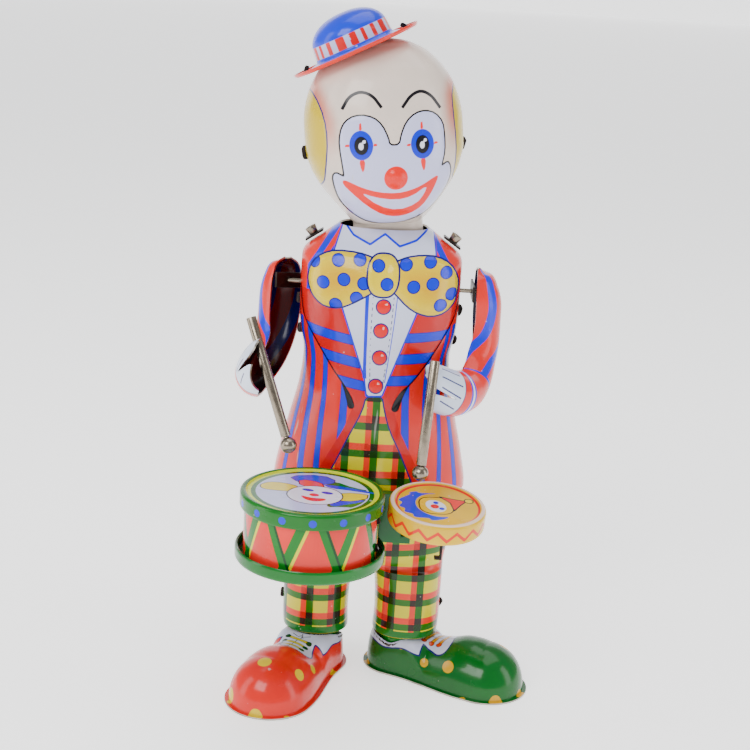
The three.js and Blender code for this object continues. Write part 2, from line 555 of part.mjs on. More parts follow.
// ---- crank, rocker and head drive ----
const crankThrow = (ROCKER.z - crankSpot.y) * Math.sin(ROCKER.tilt * DEGREE);
add(toy, 'crank_disc', join(
  cut(rodY(crankSpot.x, crankSpot.y, 3.6, -7.4, -6.5, 16),
    rodY(crankSpot.x, crankSpot.y, ARBOR_RADIUS + GAP, -8, -6, 12)),
  rodY(crankSpot.x - crankThrow - 0.6, crankSpot.y, 0.6, -8.2, -7.2, 10)), brass);

const HEAD_PIN = 9.63;            // height of the rocker's head pin over the rocker axis
const TAIL = ROCKER.z - crankSpot.y;
const rockerShape = outline([
  [-17.8, -2.6], [-2.4, -2.6], [-2.4, -TAIL - 3.4], [2.4, -TAIL - 3.4], [2.4, -2.6], [17.8, -2.6],
  [17.8, -1.3], [13.8, -1.3], [13.8, 1.3], [17.8, 1.3], [17.8, 2.6],
  [1.8, 2.6], [1.8, HEAD_PIN + 1.6], [-1.8, HEAD_PIN + 1.6],
  [-1.8, 2.6], [-17.8, 2.6], [-17.8, 1.3], [-13.8, 1.3], [-13.8, -1.3], [-17.8, -1.3],
]);
hole(rockerShape, 0, 0, ARBOR_RADIUS + GAP);
rockerShape.holes.push(new THREE.Path([[-1, -TAIL - 2], [-1, -TAIL + 2], [1, -TAIL + 2], [1, -TAIL - 2]]
  .map(([x, z]) => new THREE.Vector2(x, z))));
const rockerPlace = group(toy, new THREE.Vector3(0, 0, ROCKER.z));
rockerPlace.rotation.y = ROCKER.tilt * DEGREE;
add(rockerPlace, 'rocker', join(
  plateY(rockerShape, ROCKER.y, ROCKER.thick),
  rodY(0, HEAD_PIN, 0.7, ROCKER.y - 0.4, -5.8, 10)), plateSteel);
add(toy, 'rocker_pin', join(
  rodY(0, ROCKER.z, ARBOR_RADIUS, -10.2, PLATE.front + 0.6, 12),
  rodY(0, ROCKER.z, 1.8, -10.8, ROCKER.y - ROCKER.thick - GAP, 12)), nickel);
add(toy, 'head_pivot_pin', rodY(HEAD_PIVOT.x, HEAD_PIVOT.z, ARBOR_RADIUS, -11.6, 11.2, 12), nickel);

// ---- key and bush ----
const keyBow = plateY(outline([
  [-2.6, -2.4], [-5, -6.4], [-9.5, -7.2], [-12.6, -4.4], [-13.2, 0], [-12.6, 4.4], [-9.5, 7.2], [-5, 6.4],
  [-2.6, 2.4], [2.6, 2.4], [5, 6.4], [9.5, 7.2], [12.6, 4.4], [13.2, 0], [12.6, -4.4], [9.5, -7.2],
  [5, -6.4], [2.6, -2.4],
]), 0.7, 1.4).rotateX(Math.PI / 2).rotateY(Math.PI / 2).rotateY(Math.PI / 2);
const keyHoles = [-8.2, 8.2].map((x) => rodZ(x, 0, 2.6, -4, 4));
add(toy, 'key', join(
  cut(keyBow, ...keyHoles).translate(WINDING.x, KEY_END - 7.2, WINDING.z),
  cut(rodY(WINDING.x, WINDING.z, 2.5, 21.4, KEY_END - 6),
    rodY(WINDING.x, WINDING.z, WINDING.radius + GAP, 15, 23.4))), nickel);
add(toy, 'key_bush', cut(
  join(rodY(WINDING.x, WINDING.z, 3.0, 15.2, 20.4), rodY(WINDING.x, WINDING.z, 5.2, 18.9, 20.2)),
  rodY(WINDING.x, WINDING.z, WINDING.radius + GAP, 10, 25)), brass);

// ---- head and hat ----
const headPlace = group(toy, HEAD_PIVOT);
headPlace.rotation.y = -HEAD_LEAN * DEGREE;
const headHollow = cut(headSolid(0), headSolid(TIN));
const EAR_TAB = { x: 25.4, z: 28.3, length: 4.4 };
const earTabs = (grow) => [-1, 1].map((side) => box(
  side * EAR_TAB.x, 0, EAR_TAB.z, TAB.wide + grow, TAB.thick + grow, EAR_TAB.length + grow));
const turnedHead = (geometry) => geometry.rotateZ(HEAD_TURN * DEGREE);
const neckCut = rodY(0, 0, 1.5, -30, 30, 12);
add(headPlace, 'head_front', cut(
  turnedHead(cut(common(headHollow, frontHalf), ...earTabs(2 * GAP))), neckCut), headTin);
add(headPlace, 'head_back', cut(
  turnedHead(join(common(headHollow, backHalf), ...earTabs(0))), neckCut), headTin);
const forkX = -HEAD_PIVOT.x;      // the fork hangs straight over the rocker's pin
const leverShape = outline([
  [-5, 2.2], [-5, 4.4], [5, 4.4], [5, 2.2], [2.2, 2.2], [2.2, -1.8],
  [forkX + 2.2, -3.4], [forkX + 2.2, -8.6], [forkX + 1.2, -8.6], [forkX + 1.2, -5.2],
  [forkX - 1.2, -5.2], [forkX - 1.2, -8.6], [forkX - 2.2, -8.6],
  [forkX - 2.2, -3.4], [-2.2, -1.8], [-2.2, 2.2],
]);
add(headPlace, 'head_lever', plateY(hole(leverShape, 0, 0, ARBOR_RADIUS + GAP), -5.8, TIN), plateSteel);

const hatPlace = group(toy, HAT_CENTRE);
hatPlace.rotation.y = -HAT_TILT * DEGREE;
const dome = (radius, height, base, count) => Array.from({ length: count + 1 }, (_, i) => {
  const angle = (i / count) * Math.PI / 2;
  return [radius * Math.cos(angle), base + (height - base) * Math.sin(angle)];
});
add(hatPlace, 'hat', turned([
  [0, CROWN_HEIGHT - TIN],
  ...dome(CROWN_RADIUS - TIN, CROWN_HEIGHT - TIN, 3.4, 4).reverse().slice(1),
  [CROWN_RADIUS - TIN, 1.6], [15.6, 0.2], [BRIM_RADIUS - 0.9, 0.2], [BRIM_RADIUS, 1.0],
  [BRIM_RADIUS - 0.3, 1.7], [BRIM_RADIUS - 1.2, 1.1], [15.8, 1.1], [CROWN_RADIUS, 2.4],
  ...dome(CROWN_RADIUS, CROWN_HEIGHT, 3.4, 5).slice(0, -1),
  [0, CROWN_HEIGHT],
]), hatBlue);

// ---- origin at the middle of the footprint ----
const extent = new THREE.Box3().setFromObject(toy);
const middle = extent.getCenter(new THREE.Vector3());
toy.position.set(-middle.x, -middle.y, -extent.min.z);

export default toy;
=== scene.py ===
# %% [markdown]
# # A lithographed tin clown drummer
# The toy is pressed from tinplate that was printed flat, in a few solid inks, and varnished.
# Each shell is one pressing, so this lesson makes each shell the same way: a flat plate, a die
# that gives it its shape, the inks, and at last the thickness of the tin.

# %% Load the frame
import math

import bpy
import numpy as np
from mathutils import Matrix, Vector


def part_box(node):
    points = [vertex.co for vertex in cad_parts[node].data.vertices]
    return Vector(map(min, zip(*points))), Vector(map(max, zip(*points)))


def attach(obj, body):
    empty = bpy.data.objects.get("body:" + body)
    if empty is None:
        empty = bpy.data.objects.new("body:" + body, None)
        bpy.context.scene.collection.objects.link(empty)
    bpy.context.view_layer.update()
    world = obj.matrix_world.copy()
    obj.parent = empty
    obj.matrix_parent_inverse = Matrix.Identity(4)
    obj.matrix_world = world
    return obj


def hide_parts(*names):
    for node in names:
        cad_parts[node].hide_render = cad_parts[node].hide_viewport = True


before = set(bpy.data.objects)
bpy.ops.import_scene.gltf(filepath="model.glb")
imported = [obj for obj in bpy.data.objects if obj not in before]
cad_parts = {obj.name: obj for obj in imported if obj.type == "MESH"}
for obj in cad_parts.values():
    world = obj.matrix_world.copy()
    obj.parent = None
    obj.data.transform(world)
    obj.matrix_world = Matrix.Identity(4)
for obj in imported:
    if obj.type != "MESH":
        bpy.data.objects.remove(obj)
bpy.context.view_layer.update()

# %% [markdown]
# ## The toy's own measures
# The art and the dies are drawn in millimetres from the toy's middle: x to the clown's left, y from
# the seam between the front and back shells, z from the ground. One helper turns them into metres.

# %% Measures
MM = 0.001
DEGREE = math.pi / 180
TIN = 0.6
SEAM_GAP = 0.3
front_low, front_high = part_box("body_front")
MIDDLE = np.array([(front_low.x + front_high.x) / 2, front_high.y + SEAM_GAP / 2 * MM, 0.0])


def metres(points):
    return np.asarray(points, float) * MM + MIDDLE


def toy_box(node):
    low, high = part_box(node)
    return (np.array(low) - MIDDLE) / MM, (np.array(high) - MIDDLE) / MM


# %% [markdown]
# ## Camera
# A long lens from a little above the drum, looking down at the toy, keeps the figure's upright lines
# nearly parallel. The toy leans a few degrees in the view, so the camera is rolled by as much.

# %% Camera
VIEW_DISTANCE = 458.0
VIEW_HEIGHT = 226.0
VIEW_DOWN = 15.0
VIEW_ROLL = 3.5
LENS = 68.74
camera_data = bpy.data.cameras.new("camera")
camera_data.lens = LENS
camera_data.sensor_width = 36.0
camera_data.clip_start = 0.01
camera_data.dof.use_dof = False
camera = bpy.data.objects.new("camera", camera_data)
bpy.context.scene.collection.objects.link(camera)
camera.location = Vector(metres((0, -VIEW_DISTANCE, VIEW_HEIGHT)))
look = Matrix.Rotation((90 - VIEW_DOWN) * DEGREE, 3, "X") @ Matrix.Rotation(VIEW_ROLL * DEGREE, 3, "Z")
camera.rotation_euler = look.to_euler()
bpy.context.scene.camera = camera

# %% [markdown]
# ## Table and light
# Glossy tin shows what is round it, so it wants large pale lights: a broad one over the front, a tall
# strip on each side that draws the long highlights, and a pale room that fills the shadows. The far
# edge of the table runs up into a wall, so that no horizon shows behind the toy from the front.

# %% Table and light
TABLE_SIZE = 60.0
TABLE_GLOW = 1.05
WALL_HEIGHT = 20.0


def plain_material(name, colour, roughness, glow):
    made = bpy.data.materials.new(name)
    made.use_nodes = True
    shader = made.node_tree.nodes["Principled BSDF"]
    shader.inputs["Base Color"].default_value = (*colour, 1)
    shader.inputs["Roughness"].default_value = roughness
    shader.inputs["Emission Color"].default_value = (1, 1, 1, 1)
    shader.inputs["Emission Strength"].default_value = glow
    return made


def select_only(*objects):
    bpy.ops.object.select_all(action="DESELECT")
    for one in objects:
        one.select_set(True)
    bpy.context.view_layer.objects.active = objects[0]


bpy.ops.object.select_all(action="DESELECT")
bpy.ops.mesh.primitive_plane_add(size=TABLE_SIZE, location=(0, 0, 0))
table = bpy.context.object
table.name = "table"
bpy.ops.object.mode_set(mode="EDIT")
bpy.ops.mesh.select_mode(type="EDGE")
bpy.ops.mesh.select_all(action="DESELECT")
bpy.ops.object.mode_set(mode="OBJECT")
for edge in table.data.edges:
    edge.select = all(table.data.vertices[i].co.y > 0 for i in edge.vertices)
bpy.ops.object.mode_set(mode="EDIT")
bpy.ops.mesh.extrude_region_move(TRANSFORM_OT_translate={"value": (0, 0, WALL_HEIGHT)})
bpy.ops.object.mode_set(mode="OBJECT")
table.data.materials.append(plain_material("pale table", (0.92, 0.92, 0.92), 0.6, TABLE_GLOW))


def soft_box(name, place, aim, wide, tall, watts):
    lamp = bpy.data.lights.new(name, "AREA")
    lamp.shape = "RECTANGLE"
    lamp.size = wide
    lamp.size_y = tall
    lamp.energy = watts
    holder = bpy.data.objects.new(name, lamp)
    bpy.context.scene.collection.objects.link(holder)
    holder.location = place
    holder.rotation_euler = (Vector(aim) - Vector(place)).to_track_quat("-Z", "Y").to_euler()
    return holder


CHEST = (0.0, 0.0, 0.12)
soft_box("key light", (-0.45, -0.75, 0.75), CHEST, 0.6, 0.5, 9.0)
soft_box("left strip", (-0.75, -0.15, 0.25), CHEST, 0.25, 0.8, 2.4)
soft_box("right strip", (0.75, -0.2, 0.25), CHEST, 0.25, 0.8, 2.6)
soft_box("top light", (0.1, 0.1, 1.0), CHEST, 0.8, 0.8, 5.0)
world = bpy.data.worlds.new("pale room")
world.use_nodes = True
world.node_tree.nodes["Background"].inputs["Color"].default_value = (0.96, 0.97, 1.0, 1)
world.node_tree.nodes["Background"].inputs["Strength"].default_value = 0.55
bpy.context.scene.world = world

# %% [markdown]
# ## Curves for dies and for drawing
# A die is described by a few sections up its height. Straight lines between them would leave creases,
# and a plain spline would overshoot, so the sections are joined by a curve that keeps to their order.

# %% Smooth columns of numbers
def smooth_column(knots, values, at):
    """A curve through the values that never overshoots them."""
    knots, values, at = (np.asarray(v, float) for v in (knots, values, at))
    gap = np.diff(knots)
    rise = np.diff(values) / gap
    slope = np.concatenate([[rise[0]], (rise[1:] + rise[:-1]) / 2, [rise[-1]]])
    for i, r in enumerate(rise):
        limit = 3 * abs(r)
        slope[i] = np.clip(slope[i], -limit, limit) if slope[i] * r > 0 else 0.0
        slope[i + 1] = np.clip(slope[i + 1], -limit, limit) if slope[i + 1] * r > 0 else 0.0
    spot = np.clip(np.searchsorted(knots, at) - 1, 0, len(gap) - 1)
    t = np.clip((at - knots[spot]) / gap[spot], 0, 1)
    low, high = values[spot], values[spot + 1]
    m0, m1 = slope[spot] * gap[spot], slope[spot + 1] * gap[spot]
    return ((2 * t**3 - 3 * t**2 + 1) * low + (t**3 - 2 * t**2 + t) * m0
            + (3 * t**2 - 2 * t**3) * high + (t**3 - t**2) * m1)


def smooth_table(stations, at):
    """Every column of a table of stations, read at the places that the first column gives."""
    table = np.asarray(stations, float)
    return [smooth_column(table[:, 0], table[:, i], at) for i in range(1, table.shape[1])]


def even_steps(stations, share, column=1):
    """Turns a share of the way along a profile into a height, so that rows are evenly spaced."""
    table = np.asarray(stations, float)
    fine = np.linspace(table[0, 0], table[-1, 0], 1500)
    out = smooth_column(table[:, 0], table[:, column], fine)
    along = np.concatenate([[0], np.cumsum(np.hypot(np.diff(fine), np.diff(out)))])
    return np.interp(share, along / along[-1], fine)


def ramp(value, low, high):
    t = np.clip((value - low) / (high - low), 0, 1)
    return t * t * (3 - 2 * t)


# %% [markdown]
# ## Drawing the art
# Each ink is stored on the plate as a distance in millimetres, positive where the ink is. The material
# then cuts it off sharply at zero, so a line stays crisp at any size, as a printed edge does.

# %% Distances to shapes
def rounded(points, rounds=2, closed=True):
    """Cuts the corners of an outline again and again, until it is a smooth curve."""
    line = np.asarray(points, float)
    for _ in range(rounds):
        after = np.roll(line, -1, axis=0) if closed else line[1:]
        before = line if closed else line[:-1]
        cut = np.stack([before * 0.75 + after * 0.25, before * 0.25 + after * 0.75], axis=1)
        cut = cut.reshape(-1, 2)
        line = cut if closed else np.vstack([line[:1], cut, line[-1:]])
    return line


def nearest(x, y, starts, ends):
    """Distance to the nearest of some straight lines, and on which side of it each point lies."""
    best = np.full(x.shape, 1e9)
    side = np.zeros(x.shape)
    for (ax, ay), (bx, by) in zip(starts, ends):
        dx, dy = bx - ax, by - ay
        length = dx * dx + dy * dy
        if length < 1e-12:
            continue
        t = np.clip(((x - ax) * dx + (y - ay) * dy) / length, 0, 1)
        far = np.hypot(x - ax - t * dx, y - ay - t * dy)
        closer = far < best
        best = np.where(closer, far, best)
        side = np.where(closer, (dx * (y - ay) - dy * (x - ax)) / math.sqrt(length), side)
    return best, side


def area(x, y, outline, rounds=2):
    """Distance inside a closed outline, negative outside it."""
    line = rounded(outline, rounds)
    ends = np.roll(line, -1, axis=0)
    far, _ = nearest(x, y, line, ends)
    inside = np.zeros(x.shape, bool)
    for (ax, ay), (bx, by) in zip(line, ends):
        if ay != by:
            crosses = ((ay > y) != (by > y)) & (x < (bx - ax) * (y - ay) / (by - ay) + ax)
            inside ^= crosses
    return np.where(inside, far, -far)


def spots(x, y, places, radius):
    return np.max([radius - np.hypot(x - px, y - py) for px, py in places], axis=0)


def oval(x, y, cx, cy, half_x, half_y):
    scaled = np.hypot((x - cx) / half_x, (y - cy) / half_y)
    return (1 - scaled) * min(half_x, half_y)


def strokes(x, y, lines, rounds=2):
    """The side distance and the plain distance to the nearest of several open lines."""
    starts, ends = [], []
    for line in lines:
        curve = rounded(line, rounds, closed=False)
        starts.extend(curve[:-1])
        ends.extend(curve[1:])
    far, side = nearest(x, y, starts, ends)
    return side, far


# %% [markdown]
# ## Pressing a plate
# A grid is added flat and its points are moved to where the die puts them, row by row. The grid keeps
# its even little squares, so the art stays sharp everywhere. Where two edges meet they are welded,
# and Solidify then gives the sheet the thickness of the tin: bare tin inside painted dark as shade, bare
# metal on the edge.

# %% The press
def sheet_of_tin(name, columns, rows, die):
    """A flat grid shaped by die(u, v), which gives toy millimetres for shares across and up."""
    bpy.ops.object.select_all(action="DESELECT")
    bpy.ops.mesh.primitive_grid_add(x_subdivisions=columns, y_subdivisions=rows, size=2)
    plate = bpy.context.object
    plate.name = name
    flat = np.empty(len(plate.data.vertices) * 3)
    plate.data.vertices.foreach_get("co", flat)
    flat = flat.reshape(-1, 3)
    place = die((flat[:, 0] + 1) / 2, (flat[:, 1] + 1) / 2)
    plate.data.vertices.foreach_set("co", metres(place).astype(np.float32).ravel())
    plate.data.update()
    return plate


def ink(plate, name, distance):
    """Stores one ink's distance in millimetres at each point of the plate."""
    layer = plate.data.attributes.new(name, "FLOAT", "POINT")
    layer.data.foreach_set("value", np.asarray(distance, np.float32))


def face_outward(plate, axis_point):
    """Turns the sheet over if its faces look towards the axis point, given in toy millimetres."""
    inward = metres(axis_point)
    total = 0.0
    for face in list(plate.data.polygons)[:: max(1, len(plate.data.polygons) // 400)]:
        total += face.normal.dot(face.center - Vector(inward)) * face.area
    if total < 0:
        bpy.ops.object.mode_set(mode="EDIT")
        bpy.ops.mesh.select_all(action="SELECT")
        bpy.ops.mesh.flip_normals()
        bpy.ops.object.mode_set(mode="OBJECT")


def into_shell(plate, axis_point, materials, wall=TIN, smooth=40, weld=0.02):
    """Welds the seams, gives the sheet its wall and sets its three finishes: print, inside, edge."""
    select_only(plate)
    bpy.ops.object.mode_set(mode="EDIT")
    bpy.ops.mesh.select_all(action="SELECT")
    bpy.ops.mesh.remove_doubles(threshold=weld * MM)
    bpy.ops.object.mode_set(mode="OBJECT")
    face_outward(plate, axis_point)
    plate.data.materials.clear()
    for one in materials:
        plate.data.materials.append(one)
    solid = plate.modifiers.new("wall", "SOLIDIFY")
    solid.thickness = wall * MM
    solid.offset = -1
    solid.material_offset = 1
    solid.material_offset_rim = 2
    bpy.ops.object.modifier_apply(modifier=solid.name)
    bpy.ops.object.shade_smooth_by_angle(angle=smooth * DEGREE)
    print(plate.name, len(plate.data.polygons), "faces")
    return plate


def superellipse(angle, half, front, back, roundness=2.3):
    """A rounded section: x across, and y to the front or back by its own depth."""
    power = 2 / roundness
    across = np.sign(np.cos(angle)) * np.abs(np.cos(angle)) ** power
    along = np.sign(np.sin(angle)) * np.abs(np.sin(angle)) ** power
    return half * across, np.where(along < 0, front, back) * along


# %% [markdown]
# ## Printed tin
# The inks lie over a ground colour and under a clear varnish. Each layer is mixed over the last where
# its distance says so. Fine noise breaks the gloss, a broad one lets the ground fade a little, and
# rare pale specks and hairlines are the wear of a toy that has been played with.

# %% Printed tin
INK_STRENGTH = 0.88
INK_PURITY = 0.45


def colour(r, g, b):
    """A paint colour from 0 to 255 values, as light, its weaker parts held back so it stays strong."""
    light = [((c / 255 + 0.055) / 1.055) ** 2.4 if c > 10 else c / 255 / 12.92 for c in (r, g, b)]
    return tuple(INK_STRENGTH * c * (c / max(light)) ** INK_PURITY for c in light)


CORAL = colour(238, 72, 60)
COAT_RED = colour(205, 40, 40)
BLUE = colour(22, 62, 225)
DARK_BLUE = colour(28, 30, 110)
YELLOW = colour(240, 220, 5)
LIME = colour(222, 212, 0)
GREEN = colour(8, 108, 36)
BLACK = colour(18, 16, 22)
WHITE = colour(238, 240, 250)
SKIN = colour(232, 220, 210)
EDGE_SOFTNESS = 0.06


class Inks:
    """Builds the chain of mixed layers in one material."""

    def __init__(self, name):
        self.material = bpy.data.materials.new(name)
        self.material.use_nodes = True
        self.nodes = self.material.node_tree.nodes
        self.shader = self.nodes["Principled BSDF"]

    def link(self, out, into):
        self.material.node_tree.links.new(out, into)

    def node(self, kind, **settings):
        made = self.nodes.new(kind)
        for key, value in settings.items():
            setattr(made, key, value)
        return made

    def math(self, operation, first, second=0.0):
        made = self.node("ShaderNodeMath", operation=operation)
        for socket, value in zip(made.inputs, (first, second)):
            if isinstance(value, (int, float)):
                socket.default_value = value
            else:
                self.link(value, socket)
        return made.outputs[0]

    def between(self, value, low, high, to_low=0.0, to_high=1.0):
        made = self.node("ShaderNodeMapRange")
        self.link(value, made.inputs["Value"])
        for key, number in (("From Min", low), ("From Max", high), ("To Min", to_low), ("To Max", to_high)):
            made.inputs[key].default_value = number
        return made.outputs["Result"]

    def distance(self, name):
        made = self.node("ShaderNodeAttribute", attribute_type="GEOMETRY", attribute_name=name)
        return made.outputs["Fac"]

    def fill(self, name, soft=EDGE_SOFTNESS):
        return self.between(self.distance(name), -soft, soft)

    def edge(self, name, width):
        away = self.math("ABSOLUTE", self.distance(name))
        return self.between(away, width / 2 - EDGE_SOFTNESS, width / 2 + EDGE_SOFTNESS, 1.0, 0.0)

    def stroke(self, name, width):
        near = self.between(self.distance(name + "_far"), width / 2 + 0.4, width / 2 + 0.5, 1.0, 0.0)
        return self.math("MULTIPLY", self.edge(name, width), near)

    def noise(self, scale, detail=3.0, stretch=None):
        spot = self.node("ShaderNodeTexCoord").outputs["Object"]
        if stretch:
            mapping = self.node("ShaderNodeMapping")
            mapping.inputs["Scale"].default_value = stretch
            self.link(spot, mapping.inputs["Vector"])
            spot = mapping.outputs["Vector"]
        made = self.node("ShaderNodeTexNoise")
        made.inputs["Scale"].default_value = scale
        made.inputs["Detail"].default_value = detail
        self.link(spot, made.inputs["Vector"])
        return made.outputs["Fac"]

    def mix(self, under, over, factor, blend="MIX"):
        made = self.node("ShaderNodeMix", data_type="RGBA", blend_type=blend)
        for socket, value in ((made.inputs[0], factor), (made.inputs[6], under), (made.inputs[7], over)):
            if isinstance(value, (int, float)):
                socket.default_value = value
            elif isinstance(value, tuple):
                socket.default_value = (*value, 1)
            else:
                self.link(value, socket)
        return made.outputs[2]


def printed_tin(name, ground, layers, fade=0.12):
    """Layers are (kind, ink name, colour, width or strength); kind is fill, edge, stroke, glow or over."""
    m = Inks(name)
    shown = m.mix(ground, tuple(c * 0.8 for c in ground), m.between(m.noise(55.0), 0.35, 0.75, 0.0, 1.0))
    for kind, which, paint, number in layers:
        if kind == "fill":
            mask = m.fill(which)
        elif kind == "edge":
            mask = m.edge(which, number)
        elif kind == "stroke":
            mask = m.stroke(which, number)
        elif kind == "glow":
            mask = m.between(m.distance(which), 0.0, number)
        else:
            mask = m.math("MULTIPLY", m.fill(which), number)
        shown = m.mix(shown, paint, mask, "MULTIPLY" if kind == "over" else "MIX")
    broad = m.between(m.noise(30.0, 2.0), 0.3, 0.7, 1.0 - fade, 1.0)
    grey = m.node("ShaderNodeCombineColor")
    for socket in grey.inputs:
        m.link(broad, socket)
    shown = m.mix(shown, grey.outputs[0], 1.0, "MULTIPLY")
    hairlines = m.between(m.noise(240.0, 2.0, (1.0, 1.0, 0.06)), 0.735, 0.76, 0.0, 0.5)
    specks = m.between(m.noise(700.0, 1.0), 0.78, 0.82, 0.0, 0.6)
    shown = m.mix(shown, colour(205, 200, 195), m.math("MAXIMUM", hairlines, specks))
    m.link(shown, m.shader.inputs["Base Color"])
    m.link(m.between(m.noise(160.0), 0.3, 0.75, 0.16, 0.30), m.shader.inputs["Roughness"])
    m.shader.inputs["Specular IOR Level"].default_value = 0.22
    m.shader.inputs["Coat Weight"].default_value = 0.2
    m.shader.inputs["Coat Roughness"].default_value = 0.07
    bump = m.node("ShaderNodeBump")
    bump.inputs["Strength"].default_value = 0.12
    bump.inputs["Distance"].default_value = 0.00012
    m.link(m.noise(420.0, 2.0), bump.inputs["Height"])
    m.link(bump.outputs["Normal"], m.shader.inputs["Normal"])
    return m.material


def metal(name, tint, rough_low, rough_high, grain=300.0, stretch=None, tarnish=0.35, weight=1.0):
    """Plated or bare metal with tarnish, fine grain and uneven polish."""
    m = Inks(name)
    dark = tuple(c * 0.35 for c in tint)
    shown = m.mix(tint, dark, m.between(m.noise(120.0, 6.0), 0.45, 0.75, 0.0, tarnish))
    shown = m.mix(shown, dark, m.between(m.noise(grain, 4.0, stretch), 0.52, 0.8, 0.0, 0.6))
    m.link(shown, m.shader.inputs["Base Color"])
    m.shader.inputs["Metallic"].default_value = weight
    m.link(m.between(m.noise(grain, 4.0, stretch), 0.3, 0.7, rough_low, rough_high),
        m.shader.inputs["Roughness"])
    bump = m.node("ShaderNodeBump")
    bump.inputs["Strength"].default_value = 0.25
    bump.inputs["Distance"].default_value = 0.0001
    m.link(m.noise(grain * 2, 3.0, stretch), bump.inputs["Height"])
    m.link(bump.outputs["Normal"], m.shader.inputs["Normal"])
    return m.material


BARE_EDGE = metal("bare tin edge", colour(185, 180, 172), 0.22, 0.4, tarnish=0.6)
NICKEL = metal("worn nickel", colour(150, 142, 130), 0.16, 0.34, 500.0)
BLACK_STEEL = metal("blackened steel", colour(46, 40, 38), 0.3, 0.5, weight=0.8)
ZINC_STEEL = metal("zinc-plated steel", colour(170, 174, 180), 0.25, 0.45, 260.0, (1.0, 1.0, 0.1))
SPRING_STEEL = metal("blued spring steel", colour(70, 76, 96), 0.2, 0.4)
SATIN_BRASS = metal("satin brass", colour(205, 165, 85), 0.22, 0.42)
# The shells' inner faces are bare tin. This dark colour is painted shade for the closed hollows, not a
# lacquer.
INNER_PAINTED_SHADE = metal("shell inside painted shade", colour(60, 48, 44), 0.12, 0.3, weight=0.35)
print("finishes ready")

# %% [markdown]
# ## The body shells
# Two pressings, front and back, meet at the side seams and are held by tabs. Each is a tube of coat
# that splits into two trouser legs, so a shell is made as a left and a right plate that share the
# middle line above the crotch. Below it, the same rows wrap round each leg.

# %% The body's die
TORSO = [(40.5, 27.0, 13.0, 13.0), (46, 27.8, 15.0, 14.0), (56, 28.2, 16.5, 15.5), (66, 28.5, 18.0, 17.0),
    (68, 32.0, 21.0, 20.0), (78, 30.4, 22.5, 19.5), (90, 27.6, 22.8, 18.6), (101, 25.0, 21.8, 17.8),
    (112, 24.0, 20.5, 17.2), (120, 25.4, 20.0, 17.0), (132, 26.0, 19.2, 16.6), (141, 26.0, 17.4, 15.6),
    (144.3, 25.6, 16.2, 15.0), (146.8, 23.6, 15.0, 14.2), (150.0, 19.2, 12.8, 12.4),
    (153.6, 14.4, 10.8, 10.8),]
LEG = [
    (8, 15.1, 8.0, 8.2), (13, 15.2, 8.7, 9.0), (14.6, 15.4, 11.2, 11.4), (22, 15.7, 11.2, 12.0),
    (34, 15.4, 11.6, 12.8), (40, 14.8, 12.2, 13.0), (44, 14.2, 13.0, 13.2),
]
CROTCH_LOW, CROTCH_TOP = 38.5, 45.0
BODY_ROWS, BODY_COLUMNS = 250, 70
profile = [(z, half) for z, _, half, _ in LEG[:5]] + [(z, half) for z, half, _, _ in TORSO[1:]]


def body_die(side, front):
    """The die of one quarter: side is 1 for the clown's left, front is True for the front shell."""
    def die(u, v):
        z = even_steps(profile, v)
        half, fore, aft = smooth_table(TORSO, np.maximum(z, TORSO[0][0]))
        centre, leg_half, depth = smooth_table(LEG, np.minimum(z, LEG[-1][0]))
        facing = -1 if front else 1
        ring_x, ring_y = superellipse(facing * math.pi / 2 * (1 - u), half, fore, aft)
        leg_x, leg_y = superellipse(facing * math.pi * (1 - u), leg_half, depth, depth)
        t = np.clip((z - CROTCH_LOW) / (CROTCH_TOP - CROTCH_LOW), 0, 1)
        share = np.sqrt(1 - (1 - t) ** 2)
        x = (centre + leg_x) * (1 - share) + ring_x * share
        y = leg_y * (1 - share) + ring_y * share
        return np.stack([side * x, y, z], axis=1)
    return die


def points_of(plate):
    """The plate's points in toy millimetres."""
    at = np.empty(len(plate.data.vertices) * 3)
    plate.data.vertices.foreach_get("co", at)
    return ((at.reshape(-1, 3) - MIDDLE) / MM).T


def raise_relief(plate, height):
    """Presses the plate outward by a height in millimetres at each point."""
    normals = np.empty(len(plate.data.vertices) * 3)
    plate.data.vertex_normals.foreach_get("vector", normals)
    at = np.empty_like(normals)
    plate.data.vertices.foreach_get("co", at)
    at += (normals.reshape(-1, 3) * np.asarray(height)[:, None] * MM).ravel()
    plate.data.vertices.foreach_set("co", at.astype(np.float32))
    plate.data.update()


def body_plate(name, front):
    quarters = [sheet_of_tin(f"{name}{side}", BODY_COLUMNS, BODY_ROWS,
        body_die(side, front)) for side in (1, -1)]
    for plate in quarters:
        select_only(plate)
        face_outward(plate, (0, 0, 90))
    select_only(*quarters)
    bpy.ops.object.join()
    bpy.ops.object.mode_set(mode="EDIT")
    bpy.ops.mesh.select_all(action="SELECT")
    bpy.ops.mesh.remove_doubles(threshold=0.03 * MM)
    bpy.ops.object.mode_set(mode="OBJECT")
    whole = bpy.context.object
    whole.name = name
    return whole


front_plate = body_plate("coat_front", True)
print("front plate", len(front_plate.data.polygons), "faces")

# %% [markdown]
# The costume is drawn part by part: plaid trousers, a skirted coat with woven stripes, lapels with
# short bars, a shirt with its placket and buttons, and the big spotted bow.

# %% The plaid of the trousers
PLAID_PITCH = 9.2
GREEN_BAND, CORAL_BAND = 2.4, 1.9
HEM = 67.0
CUFF_TOP, CUFF_LINE = 17.0, 14.2


def repeating(value, start, wide, pitch):
    """Distance inside the nearest band of a repeating set of bands."""
    middle = start + wide / 2
    away = np.abs((value - middle + pitch / 2) % pitch - pitch / 2)
    return wide / 2 - away


